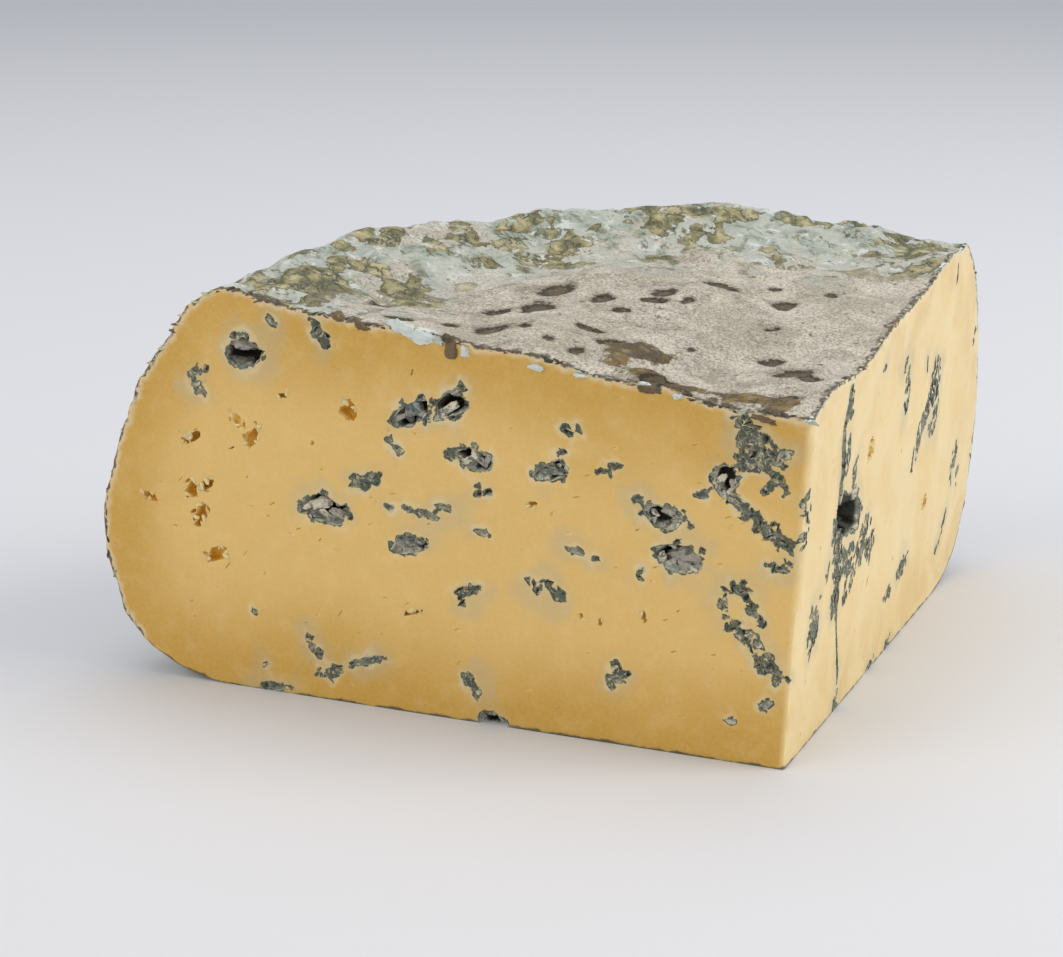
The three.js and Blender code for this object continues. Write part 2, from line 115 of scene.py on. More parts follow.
# Mould hollows in the front cut: distance from the corner, height, length, width, turn in degrees
# and depth
FRONT_HOLLOWS = [
    (69.2, 42.4, 6.4, 4.4, -18, 4.5),
    (75.9, 38.4, 4.0, 3.0, 60, 2.2),
    (65.6, 46.6, 2.0, 1.0, -40, 1.0),
    (58.9, 45.6, 4.4, 1.7, -52, 2.4),
    (46.8, 37.1, 6.0, 3.4, 24, 4.2),
    (41.8, 38.6, 6.0, 3.8, 38, 4.6),
    (39.2, 32.4, 6.4, 3.2, -8, 3.2),
    (37.8, 28.7, 2.1, 1.7, 0, 1.6),
    (50.0, 33.6, 1.4, 0.8, 10, 0.8),
    (48.9, 32.5, 1.8, 1.0, -30, 0.8),
    (53.3, 28.3, 4.8, 2.2, 12, 1.8),
    (58.6, 24.2, 8.4, 4.0, -6, 3.8),
    (29.0, 31.8, 5.2, 2.5, 10, 3.0),
    (26.4, 37.1, 2.3, 1.6, -15, 1.2),
    (27.6, 34.3, 1.6, 0.9, 20, 0.8),
    (22.0, 32.9, 3.0, 1.7, -8, 1.4),
    (18.2, 29.8, 1.4, 1.1, 30, 0.9),
    (14.9, 28.1, 6.4, 3.4, -12, 2.6),
    (13.2, 23.5, 7.2, 4.0, 4, 3.4),
    (17.6, 21.0, 2.4, 1.4, 20, 0.9),
    (7.9, 33.0, 4.4, 3.6, 50, 2.8),
    (10.6, 31.1, 2.2, 1.0, 10, 1.0),
    (4.4, 38.2, 5.6, 3.0, -28, 2.0),
    (2.6, 35.8, 4.4, 2.4, -20, 1.8),
    (6.0, 40.4, 3.0, 1.4, 10, 1.0),
    (2.6, 33.3, 2.6, 2.2, 30, 1.4),
    (50.2, 25.4, 1.6, 0.7, -10, 0.7),
    (47.4, 25.4, 2.2, 0.8, -12, 0.9),
    (44.8, 24.9, 3.0, 1.1, -14, 1.2),
    (43.0, 26.2, 2.6, 0.8, -10, 0.9),
    (47.5, 21.1, 6.0, 2.6, 14, 2.8),
    (37.9, 23.6, 2.2, 0.9, -12, 1.0),
    (39.7, 15.8, 3.5, 2.3, 28, 1.8),
    (29.6, 17.8, 5.6, 1.9, -22, 2.0),
    (25.9, 22.8, 2.7, 1.0, -12, 1.0),
    (23.3, 22.2, 1.2, 0.9, 0, 0.8),
    (20.4, 8.6, 4.2, 2.2, 62, 1.8),
    (6.2, 20.6, 4.4, 1.7, 24, 1.8),
    (7.6, 18.2, 4.4, 1.4, 82, 1.6),
    (3.9, 18.0, 4.6, 1.6, -62, 1.6),
    (5.0, 15.4, 4.8, 1.7, -24, 1.8),
    (3.2, 13.6, 4.6, 2.2, -40, 2.4),
    (1.8, 11.2, 4.2, 2.4, -24, 2.0),
    (1.6, 24.2, 4.0, 1.6, 6, 1.8),
    (6.4, 30.6, 3.4, 1.5, -36, 1.2),
    (4.4, 29.0, 3.6, 2.2, -40, 1.5),
    (2.4, 27.6, 3.4, 2.3, -36, 1.6),
    (0.8, 26.4, 2.4, 1.8, -30, 1.6),
    (4.6, 36.4, 5.2, 4.2, -60, 1.4),
    (1.0, 36.6, 2.2, 1.2, 10, 1.0),
    (1.2, 32.6, 2.0, 1.4, 70, 1.0),
    (60.4, 6.6, 3.8, 1.6, -42, 1.6),
    (58.6, 3.6, 4.2, 2.2, 20, 1.8),
    (53.4, 5.6, 6.2, 1.0, 18, 1.0),
    (69.0, 9.9, 1.0, 0.8, 0, 0.5),
    (67.6, 3.3, 0.9, 0.7, 20, 0.5),
    (39.4, 4.9, 4.0, 2.0, -58, 2.0),
    (36.4, 0.4, 4.4, 2.6, -12, 3.2),
    (66.0, 0.6, 4.2, 1.2, 0, 1.2),
    (6.6, 4.9, 1.6, 0.9, 0, 0.5),
    (2.3, 7.4, 2.4, 1.2, 40, 0.6),
]

# Openings in the front cut that no mould has reached
FRONT_TEARS = [
    (77.1, 31.2, 3.2, 1.5, 40, 1.6),
    (70.6, 34.0, 2.8, 1.6, -50, 1.4),
    (68.4, 32.2, 3.6, 2.0, 62, 1.9),
    (55.3, 36.7, 3.2, 2.6, -30, 2.2),
    (83.4, 23.1, 2.8, 1.2, -14, 1.4),
    (77.4, 24.8, 2.6, 2.0, 72, 1.8),
    (75.3, 25.3, 2.8, 1.6, 36, 1.8),
    (76.2, 21.8, 3.2, 2.2, 62, 2.0),
    (74.0, 16.8, 3.6, 2.0, 20, 1.8),
    (64.1, 37.6, 1.7, 0.8, 12, 1.2),
    (71.5, 30.4, 1.1, 0.4, 20, 0.8),
    (46.7, 41.9, 1.1, 0.4, 80, 0.8),
    (31.4, 27.7, 1.5, 0.9, 0, 1.4),
    (47.0, 12.7, 3.6, 0.7, 16, 1.2),
    (60.2, 32.2, 0.8, 0.6, 60, 0.8),
    (25.1, 14.9, 0.6, 1.2, 10, 0.8),
    (22.7, 14.6, 0.7, 1.1, -10, 0.8),
    (17.4, 16.1, 0.9, 1.4, 20, 1.0),
]

# Mould hollows in the right cut, placed in the same way along +Y
RIGHT_HOLLOWS = [
    (20.6, 25.0, 13.0, 6.4, -12, 4.7),
    (17.6, 20.4, 6.4, 6.0, 70, 2.2),
    (16.2, 15.4, 5.6, 3.0, 84, 1.6),
    (23.0, 18.6, 4.6, 6.0, 80, 2.0),
    (21.6, 15.0, 3.4, 2.6, 70, 1.4),
    (21.8, 30.0, 3.6, 3.0, 60, 1.6),
    (14.4, 24.4, 5.4, 2.6, 80, 1.4),
    (21.4, 0.8, 3.4, 2.2, 90, 2.0),
    (28.6, 19.4, 6.4, 5.0, 60, 2.5),
    (32.0, 17.4, 5.0, 2.8, 60, 1.8),
    (24.8, 16.3, 4.2, 2.0, 60, 1.6),
    (8.2, 15.2, 5.4, 4.2, 62, 2.4),
    (6.6, 13.0, 3.6, 2.0, 80, 1.4),
    (12.4, 20.0, 2.4, 1.6, 80, 1.0),
    (17.4, 38.6, 6.0, 1.6, 88, 1.0),
    (17.2, 33.0, 5.0, 1.8, 88, 1.2),
    (37.4, 0.5, 4.0, 1.4, 10, 1.6),
    (46.6, 0.6, 3.6, 1.6, 20, 1.6),
    (0.9, 30.6, 3.6, 2.2, 80, 1.2),
    (1.2, 27.8, 3.6, 1.8, 70, 1.4),
    (50.4, 9.6, 6.6, 2.2, 22, 2.0),
    (43.6, 8.0, 5.4, 2.0, 10, 1.6),
    (72.6, 7.2, 6.0, 1.4, 30, 1.4),
    (74.6, 10.6, 3.4, 1.4, 60, 1.0),
    (77.6, 17.6, 6.6, 2.8, 84, 1.8),
    (80.8, 14.8, 3.6, 1.5, 80, 1.0),
    (60.4, 32.8, 7.4, 4.4, 80, 2.4),
    (57.0, 29.6, 5.6, 3.2, 62, 2.2),
    (54.2, 27.0, 5.6, 3.4, 70, 2.4),
    (62.6, 28.0, 6.0, 2.2, 84, 1.4),
    (54.6, 25.2, 4.2, 1.8, 50, 1.6),
    (51.2, 23.6, 3.8, 1.4, 78, 1.4),
    (60.6, 26.8, 3.6, 1.7, 74, 1.4),
    (42.8, 38.2, 2.6, 1.1, 76, 1.0),
    (55.1, 36.0, 2.2, 0.9, 80, 0.8),
    (44.6, 34.6, 6.4, 2.4, 84, 1.4),
    (31.8, 40.3, 1.6, 1.0, 20, 0.7),
    (68.4, 45.6, 3.0, 1.0, 84, 0.8),
    (10.2, 17.6, 1.2, 0.6, 0, 0.5),
    (83.2, 34.6, 3.0, 1.4, 70, 1.2),
]

RIGHT_TEARS = [
    (28.2, 30.9, 3.4, 2.8, 60, 2.2),
    (60.8, 16.0, 3.0, 2.4, 84, 1.6),
    (31.9, 13.4, 1.8, 0.7, 40, 0.8),
]

# Fissure down the right cut: distance from the corner, height and gap at each stop
FISSURE = [
    (16.4, 40.8, 1.3),
    (15.0, 37.0, 1.7),
    (15.5, 32.2, 1.6),
    (15.6, 27.4, 1.9),
    (16.2, 21.0, 1.4),
    (18.0, 14.0, 0.9),
    (19.4, 9.0, 0.5),
    (20.8, 3.6, 0.4),
]
FISSURE_DEPTH = 1.9

# The crumbly vein that runs down the front cut to the corner
CORNER_VEIN = [(7.8, 31.4, 0.5), (5.8, 29.9, 0.5), (4.2, 29.3, 0.9), (2.4, 27.6, 0.6), (-0.2, 26.5, 1.0)]
CORNER_VEIN_DEPTH = 1.6

# Dark spots sunk into the rind of the top: distance out, angle from the front cut, length along
# the view's width, length along its depth
DARK_SPOTS = [
    (45.8, 20.2, 4.0, 3.0), (42.1, 24.4, 5.0, 5.4), (46.5, 33.0, 5.6, 4.6), (41.1, 37.2, 4.0, 3.4),
    (36.1, 36.6, 3.0, 2.0), (32.1, 22.9, 4.2, 2.6), (27.1, 20.2, 4.4, 3.0), (27.9, 8.9, 2.8, 2.4),
    (32.1, 10.1, 2.0, 2.2), (39.8, 8.6, 4.8, 3.4), (36.4, 12.2, 1.8, 2.4), (45.3, 8.3, 3.0, 3.0),
    (36.9, 44.4, 4.2, 2.2), (35.4, 50.6, 2.4, 2.6), (39.8, 48.2, 4.0, 4.6), (43.8, 60.1, 5.0, 5.4),
    (22.7, 39.9, 1.6, 1.4), (20.2, 64.6, 4.0, 3.6), (39.1, 70.2, 4.2, 3.8), (28.9, 67.3, 2.6, 1.6),
    (45.3, 69.1, 2.2, 2.2), (43.8, 78.3, 2.0, 2.4), (17.0, 5.6, 5.4, 3.4), (14.6, 72.0, 5.8, 4.0),
    (56.5, 10.2, 4.0, 3.0), (50.6, 4.6, 4.2, 2.6), (12.0, 80.0, 3.4, 3.0), (6.0, 62.0, 5.0, 2.0),
]

# Bare olive-brown patches where no bloom grows, in the same way
BARE_PATCHES = [
    (22.7, 18.5, 11.0, 7.0), (66.2, 31.6, 5.0, 4.6), (60.5, 31.0, 3.4, 4.6), (56.8, 70.8, 4.4, 5.0),
    (72.9, 78.6, 5.4, 5.2), (71.4, 72.0, 5.6, 5.2), (57.5, 54.8, 6.0, 5.6), (58.3, 61.7, 8.0, 7.0),
    (66.6, 58.0, 8.0, 5.0), (74.7, 50.0, 9.0, 7.0), (74.5, 64.9, 10.0, 7.0), (61.5, 9.0, 11.0, 8.0),
    (63.5, 16.1, 11.0, 6.0), (71.0, 22.0, 12.0, 6.0), (66.2, 8.3, 8.0, 5.0), (70.5, 40.0, 7.0, 5.0),
    (7.7, 26.8, 12.0, 5.4), (3.0, 50.0, 7.0, 4.0), (14.0, 6.0, 7.0, 3.4), (18.4, 8.0, 7.0, 4.0),
]

# Lumps of broken rind pressed into the front cut: place, length, width, turn and shade
RIND_LUMPS = [
    (48.3, 46.9, 4.4, 2.0, -16, 0.12),
    (45.2, 46.1, 4.6, 2.2, -12, 0.0),
    (43.4, 46.0, 2.2, 1.2, -30, 0.2),
    (41.5, 44.7, 3.7, 2.1, 80, 0.6),
    (41.9, 46.1, 2.4, 1.2, -10, 0.72),
    (39.9, 44.9, 1.5, 1.7, 70, 0.08),
    (31.0, 43.9, 2.6, 0.9, -8, 0.04),
    (25.4, 43.3, 2.2, 0.8, -6, 0.1),
    (53.4, 46.8, 3.2, 1.3, -24, 0.66),
    (56.4, 47.6, 2.2, 1.3, -36, 0.5),
    (17.0, 42.6, 3.6, 1.4, -6, 0.7),
    (13.6, 42.0, 1.6, 0.8, -4, 0.05),
    (3.4, 40.4, 3.6, 1.0, -10, 0.6),
]

# Slabs of curd standing in the hollows of the front cut: place, length, width, turn, how far
# behind the cut, and shade from pale 0 to mouldy 1
CURD_SLABS = [
    (69.8, 43.1, 3.8, 1.5, -6, 0.8, 0.62),
    (67.7, 40.9, 1.9, 0.9, 46, 0.6, 0.2),
    (70.9, 40.5, 1.7, 0.8, -20, 0.5, 0.15),
    (76.0, 38.0, 2.6, 0.9, 24, 0.5, 0.1),
    (42.6, 37.5, 4.4, 1.2, 34, 0.5, 0.05),
    (44.9, 39.0, 1.7, 1.2, 20, 0.7, 0.5),
    (40.9, 40.3, 2.1, 1.0, 10, 0.5, 0.5),
    (46.7, 37.6, 2.6, 1.7, 20, 0.6, 0.9),
    (48.7, 36.3, 1.9, 0.9, 20, 0.4, 0.6),
    (43.6, 35.9, 1.3, 0.6, 60, 0.4, 0.1),
    (40.1, 31.8, 2.3, 0.8, 30, 0.4, 0.05),
    (38.9, 32.8, 1.7, 0.7, -50, 0.5, 0.15),
    (37.0, 33.0, 1.9, 1.4, 0, 0.8, 0.55),
    (13.9, 28.5, 3.2, 1.5, -10, 1.1, 0.5),
    (16.9, 27.3, 1.7, 0.8, 30, 0.4, 0.2),
    (12.6, 23.7, 4.6, 2.3, 4, 1.6, 0.6),
    (15.4, 23.0, 1.7, 1.3, 60, 0.5, 0.1),
    (11.3, 22.1, 1.9, 0.6, -20, 0.5, 0.3),
    (59.8, 24.6, 3.2, 1.2, 10, 0.6, 0.35),
    (57.0, 23.6, 2.7, 1.1, -20, 0.7, 0.55),
    (61.3, 24.1, 1.7, 0.7, 30, 0.4, 0.15),
    (29.0, 31.6, 3.8, 1.5, 8, 1.2, 0.8),
    (8.5, 32.8, 1.9, 1.0, 50, 0.5, 0.2),
    (6.8, 32.6, 1.5, 0.9, -20, 0.6, 0.5),
    (47.4, 21.0, 3.6, 1.3, 14, 1.1, 0.85),
]


def smooth_step(low, high, value):
    share = np.clip((value - low) / (high - low), 0.0, 1.0)
    return share * share * (3 - 2 * share)


def bell(distance, width):
    return np.exp(-((distance / width) ** 2))


def mix(a, b, share):
    return a + (b - a) * share


def between_cuts(angle):
    """0 at the two cuts and 1 half-way between them."""
    return np.sin(math.pi * angle / QUARTER_ANGLE)


def rind_waves(x, y):
    height, length, share = 0.0, RIND_LONGEST_WAVE, 1.0
    for wave in range(RIND_WAVES):
        heading = wave * GOLDEN_ANGLE
        along = x * math.cos(heading) + y * math.sin(heading)
        height = height + share * np.sin(2 * math.pi * along / length + wave * 1.7)
        length *= RIND_WAVE_RATIO
        share *= RIND_WAVE_RATIO
    return height * RIND_WAVE_HEIGHT


def top_height(radius, angle):
    """Height of the rind's upper side, with its waves, fold and dip."""
    rim_top = RIM_TOP_AT_CUTS + RIM_TOP_SWELL * between_cuts(angle)
    shoulder_start = WHEEL_RADIUS - SHOULDER_WIDTH
    across = np.clip((radius - shoulder_start) / SHOULDER_WIDTH, 0, 1)
    fall = (1 - across**SHOULDER_POWER) ** (1 / SHOULDER_POWER)
    shoulder = mix(BULGE_HEIGHT, rim_top, fall)
    rise = (np.minimum(radius, shoulder_start) / shoulder_start) ** DISH_POWER
    dish = mix(CORNER_TOP, rim_top, rise) - CORNER_DROOP * bell(radius, CORNER_DROOP_WIDTH)
    fold = FOLD_HEIGHT * bell(radius - FOLD_RADIUS, FOLD_WIDTH)
    dip = DIP_DEPTH * bell(radius - DIP_RADIUS, DIP_WIDTH)
    fade_at_rim = 1 - np.clip(radius / WHEEL_RADIUS, 0, 1) ** 8
    waves = rind_waves(-radius * np.cos(angle), radius * np.sin(angle))
    relief = between_cuts(angle) * (fold - dip) + fade_at_rim * waves
    return np.where(radius > shoulder_start, shoulder, dish) + relief


def foot_height(radius):
    """Height of the underside, which is flat and then turns up to the bulge."""
    across = np.clip((radius - WHEEL_RADIUS + FOOT_WIDTH) / FOOT_WIDTH, 0, 1)
    return BULGE_HEIGHT * (1 - (1 - across**FOOT_POWER) ** (1 / FOOT_POWER))


def placed(radius, angle, height):
    """Points at a distance from the axis, an angle from the front cut and a height, leaning."""
    share = mix(1 - radius / WHEEL_RADIUS, 1, angle / QUARTER_ANGLE)
    lean = LEAN_AT_TOP * height * share / LEAN_HEIGHT
    outward = (radius / WHEEL_RADIUS) ** 4 * RIM_WAVE_DEPTH
    reach = radius + outward * np.sin(11 * angle + height / 7) * np.sin(5 * angle + 1)
    return np.stack([-reach * np.cos(angle) + lean, reach * np.sin(angle), height], axis=-1)


def round_over(radius, angle, height):
    """Draws the square edge of the rim in to the wheel's rounded profile.

    Points move along rays from a centre inside the rim, each in proportion to how far the ray
    runs to the profile and to the square edge.
    """
    centre = WHEEL_RADIUS - FOOT_WIDTH
    outer = radius > centre
    out = np.where(outer, radius - centre, 1e-6)
    up = height - BULGE_HEIGHT
    square_top = top_height(np.full_like(radius, centre), angle) - BULGE_HEIGHT
    room_out = (WHEEL_RADIUS - centre) / np.maximum(out, 1e-9)
    room_up = np.where(up > 0, square_top, BULGE_HEIGHT) / np.maximum(np.abs(up), 1e-9)
    to_square = np.minimum(room_out, room_up)
    low, high = np.zeros_like(radius), to_square * 1.05
    for _ in range(36):
        middle = (low + high) / 2
        r = centre + out * middle
        z = BULGE_HEIGHT + up * middle
        inside = (r <= WHEEL_RADIUS) & (z <= top_height(r, angle)) & (z >= foot_height(r))
        low = np.where(inside, middle, low)
        high = np.where(inside, high, middle)
    share = low / to_square
    new_radius = np.where(outer, centre + out * share, radius)
    new_height = np.where(outer, BULGE_HEIGHT + up * share, height)
    return new_radius, new_height


def coordinates(mesh):
    values = np.empty(len(mesh.vertices) * 3)
    mesh.vertices.foreach_get("co", values)
    return values.reshape(-1, 3)


def set_coordinates(mesh, points):
    mesh.vertices.foreach_set("co", np.ascontiguousarray(points).ravel())
    mesh.update()


def noise_at(points, scale, shift=0.0, octaves=3):
    """Smooth noise from about -1 to 1 whose lumps are about scale millimetres wide."""
    offset = Vector((shift, 1.7 * shift, -shift))
    return np.array([
        noise.fractal(Vector(point) / scale + offset, 1.0, 2.0, octaves) for point in points
    ])


def plan_place(a, b):
    """Distance from the axis and angle from the front cut of a point of the divided cube."""
    across = a * np.sqrt(1 - b * b / 2)
    along = b * np.sqrt(1 - a * a / 2)
    radius = np.hypot(across, along) * WHEEL_RADIUS
    angle = np.arctan2(along, across + 1e-12) * QUARTER_ANGLE / (math.pi / 2)
    return radius, angle


def quarter_block():
    """The uncut quarter as a cube divided into small faces, each marked as cut or rind.

    Returns the mesh, and the cube coordinates that say which side each vertex is on.
    """
    bm = bmesh.new()
    bmesh.ops.create_cube(bm, size=1.0)
    bmesh.ops.translate(bm, verts=bm.verts, vec=(-0.5, 0.5, 0.5))
    for axis, steps in enumerate((PLAN_STEPS, PLAN_STEPS, HEIGHT_STEPS)):
        along = [
            edge for edge in bm.edges
            if abs(edge.verts[0].co[axis] - edge.verts[1].co[axis]) > 0.9
        ]
        bmesh.ops.subdivide_edges(bm, edges=along, cuts=steps - 1, use_grid_fill=True)
    bm.normal_update()
    for face in bm.faces:
        cut = face.normal.y < -0.5 or face.normal.x > 0.5
        face.material_index = PASTE if cut else RIND
    flat_radius = WHEEL_RADIUS - FOOT_WIDTH
    flat = [
        face for face in bm.faces
        if face.normal.z < -0.5
        and all(plan_place(-vert.co.x, vert.co.y)[0] < flat_radius for vert in face.verts)
    ]
    bmesh.ops.dissolve_faces(bm, faces=flat)
    mesh = bpy.data.meshes.new("cheese")
    bm.to_mesh(mesh)
    bm.free()
    return mesh, coordinates(mesh) * np.array([-1.0, 1.0, 1.0])


def shape_body(mesh, cube):
    """Moves the divided cube's vertices to the quarter wheel, with the rind's fine relief."""
    a, b, c = cube.T
    radius, angle = plan_place(a, b)
    centre = WHEEL_RADIUS - FOOT_WIDTH
    full_height = top_height(np.minimum(radius, centre), angle)
    radius, height = round_over(radius, angle, c * full_height)
    set_coordinates(mesh, placed(radius, angle, height))
    return radius, angle


def spot_field(points, spots, unevenness, scale):
    """How far each point lies inside the nearest spot: 1 at its middle, 0 at its edge."""
    heading = math.radians(23.5)
    across = points[:, 0] * math.cos(heading) + points[:, 1] * math.sin(heading)
    deep = -points[:, 0] * math.sin(heading) + points[:, 1] * math.cos(heading)
    warp = noise_at(points, scale, 3.0)
    field = np.full(len(points), -1.0)
    for out, at, wide, long in spots:
        angle = math.radians(at)
        x, y = -out * math.cos(angle), out * math.sin(angle)
        u = (across - x * math.cos(heading) - y * math.sin(heading)) / (wide / 2)
        v = (deep + x * math.sin(heading) - y * math.cos(heading)) / (long / 2)
        v = v + 0.35 * np.sin(u * 1.8 + out)
        field = np.maximum(field, 1 - np.hypot(u, v))
    return field + warp * unevenness


def rind_relief(mesh, cube, radius):
    """Lumps, wrinkles and sunken spots of the rind, and the slight waves of the two cuts."""
    points = coordinates(mesh)
    a, b, c = cube.T
    on_front, on_right, on_foot = b < 1e-6, a < 1e-6, c < 1e-6
    on_cut = on_front | on_right
    on_top = c > 1 - 1e-6
    rind = on_top | (a > 1 - 1e-6) | (b > 1 - 1e-6)
    normals = np.empty(len(points) * 3)
    mesh.vertex_normals.foreach_get("vector", normals)
    normals = normals.reshape(-1, 3)
    move = np.zeros(len(points))
    skin = np.flatnonzero(rind | on_foot)
    off_floor = smooth_step(0.0, 3.0, points[skin, 2])
    near_rim = smooth_step(50, 72, radius[skin])
    lumps = noise_at(points[skin], 9.0, 1.0) * mix(0.22, 0.7, near_rim)
    wrinkles = -np.abs(noise_at(points[skin], 4.2, 2.0)) * mix(0.12, 0.85, near_rim)
    grain = noise_at(points[skin], 1.3, 5.0, 2) * mix(0.07, 0.16, near_rim)
    sunk = smooth_step(-0.1, 0.5, spot_field(points[skin], DARK_SPOTS, 0.25, 2.0))
    bare = spot_field(points[skin], BARE_PATCHES, 0.3, 3.0)
    domes = 0.34 * smooth_step(0.0, 0.4, bare) - 0.22 * bell(bare, 0.12)
    move[skin] = off_floor * (lumps + wrinkles + grain - 0.32 * sunk * on_top[skin] + domes)
    normals[(rind | on_foot) & on_front] *= (1, 0, 1)
    normals[(rind | on_foot) & on_right] *= (0, 1, 1)
    face = np.flatnonzero(on_cut & ~rind & ~on_foot)
    swell = mix(0.10, 0.24, on_right[face])
    move[face] = swell * noise_at(points[face], 7.0, 9.0) + 0.035 * noise_at(points[face], 1.6, 4.0)
    arris = np.flatnonzero(on_front & on_right)
    move[arris] = -0.15 - 0.5 * np.abs(noise_at(points[arris], 3.0, 6.0))
    set_coordinates(mesh, points + normals * move[:, None])


def front_place(from_corner, up, inwards):
    return Vector((-from_corner, inwards, up))


def right_place(from_corner, up, inwards):
    lean = LEAN_AT_TOP * up / LEAN_HEIGHT
    across = from_corner * math.cos(QUARTER_ANGLE)
    return Vector((lean - across - inwards, from_corner * math.sin(QUARTER_ANGLE), up))


# Directions along each cut, up and inwards
FRONT_AXES = Matrix(((1, 0, 0), (0, 0, 1), (0, 1, 0)))
RIGHT_AXES = Matrix(((0, 0, -1), (1, 0, 0), (0, 1, 0)))


def crumb(rng, size, turn, axes, place, detail, material, rough=0.12, tumble=0.0):
    """An angular lump of curd: a rounded block cut by random planes, with a rough surface."""
    planes = []
    for _ in range(8):
        normal = Vector((rng.gauss(0, 1), rng.gauss(0, 1), rng.gauss(0, 0.6))).normalized()
        planes.append((normal, rng.uniform(0.6, 1.0)))
    shift = Vector((rng.uniform(0, 50), rng.uniform(0, 50), rng.uniform(0, 50)))
    bm = bmesh.new()
    bmesh.ops.create_icosphere(bm, subdivisions=detail, radius=1.0)
    for vert in bm.verts:
        direction = vert.co.normalized()
        reach = sum(abs(part) ** 3.5 for part in direction) ** (-1 / 3.5)
        for normal, distance in planes:
            facing = direction.dot(normal)
            if facing > 0.05:
                reach = min(reach, distance / facing)
        reach *= 1 + rough * noise.fractal(direction * 3.0 + shift, 1.0, 2.0, 3)
        vert.co = direction * reach
    widest = [max(abs(vert.co[axis]) for vert in bm.verts) for axis in range(3)]
    fit = Matrix.Diagonal(Vector([length / reach for length, reach in zip(size, widest)]))
    spin = Matrix.Rotation(math.radians(turn), 3, "Z")
    tip = Matrix.Rotation(math.radians(tumble), 3, Vector((rng.gauss(0, 1), rng.gauss(0, 1), 0.01)))
    transform = axes @ spin @ tip @ fit
    bmesh.ops.transform(bm, matrix=transform.to_4x4(), verts=bm.verts)
    bmesh.ops.translate(bm, verts=bm.verts, vec=place)
    if transform.determinant() < 0:
        bmesh.ops.reverse_faces(bm, faces=bm.faces)
    for face in bm.faces:
        face.material_index = material
        face.smooth = True
    mesh = bpy.data.meshes.new("crumb")
    bm.to_mesh(mesh)
    bm.free()
    return mesh


def hollow_spot(hollow, axes, place, u, v, inwards=0.0):
    """The point of a cut that lies u along a hollow and v across it."""
    from_corner, up, _, _, turn, _ = hollow
    heading = math.radians(turn)
    along = u * math.cos(heading) - v * math.sin(heading)
    rise = u * math.sin(heading) + v * math.cos(heading)
    side = -1 if axes is FRONT_AXES else 1
    return place(from_corner + side * along, up + rise, inwards)


def hollow_crumbs(rng, hollow, axes, place, material):
    """The lumps cut away to open one hollow: a shelf, deeper holes in it and nicks round it."""
    _, _, long, wide, turn, deep = hollow
    crumbs = []

    def cut(u, v, size, tilt, detail):
        spot = hollow_spot(hollow, axes, place, u, v)
        crumbs.append(crumb(rng, size, turn + tilt, axes, spot, detail, material, 0.16))

    open_wide = material == TORN or deep >= OPEN_HOLLOW_DEPTH or wide < 1.3
    if open_wide:
        holes = 1 + int(long * wide / 9) if deep >= OPEN_HOLLOW_DEPTH else 0
        shelf = 0.42 * deep if holes else deep
        cut(0, 0, (0.46 * long, 0.46 * wide, shelf), 0, 3)
        for _ in range(holes):
            u, v = rng.uniform(-0.26, 0.26) * long, rng.uniform(-0.2, 0.2) * wide
            size = (wide * rng.uniform(0.3, 0.46), wide * rng.uniform(0.2, 0.32), deep)
            cut(u, v, size, rng.uniform(-40, 40), 3)
    nicks = int(1.6 * long) if open_wide else int(1.7 * long * wide)
    for number in range(nicks):
        around = rng.uniform(0, 2 * math.pi)
        out = rng.uniform(0.7, 1.05) if open_wide else math.sqrt(rng.uniform(0.0, 1.0))
        u = math.cos(around) * long / 2 * out
        v = math.sin(around) * wide / 2 * out
        if number % 4 == 3 and not open_wide:
            length = rng.uniform(0.7, 1.4) * min(1.2, 0.7 * wide)
            breadth = rng.uniform(0.1, 0.2)
        else:
            length = rng.uniform(0.4, 1.0) * min(1.2, 0.7 * wide)
            breadth = length * rng.uniform(0.2, 0.4)
        inwards = min(deep, 1.4 * length) * rng.uniform(0.4, 0.9)
        detail = 2 if length > 0.75 and axes is FRONT_AXES else 1
        cut(u, v, (length / 2, breadth, inwards), rng.uniform(-75, 75), detail)
    return crumbs


def crack_crumbs(rng, path, depth, axes, place):
    """The thin lumps cut away along a crack, each depth times as deep as the crack is wide."""
    side = -1 if axes is FRONT_AXES else 1
    crumbs = []
    for (from_a, up_a, gap_a), (from_b, up_b, gap_b) in zip(path, path[1:]):
        du, dv = side * (from_b - from_a), up_b - up_a
        length = math.hypot(du, dv)
        turn = math.degrees(math.atan2(dv, du))
        pieces = max(1, round(length / 2.0))
        for piece in range(pieces):
            share = (piece + 0.5) / pieces
            spot = place(
                mix(from_a, from_b, share) + rng.uniform(-0.15, 0.15),
                mix(up_a, up_b, share),
                0.0,
            )
            gap = mix(gap_a, gap_b, share) * rng.uniform(0.8, 1.3)
            size = (0.8 * length / pieces, gap / 2, depth * gap * rng.uniform(0.8, 1.1))
            tilt = turn + rng.uniform(-6, 6)
            crumbs.append(crumb(rng, size, tilt, axes, spot, 3, MOULD, 0.18))
    return crumbs


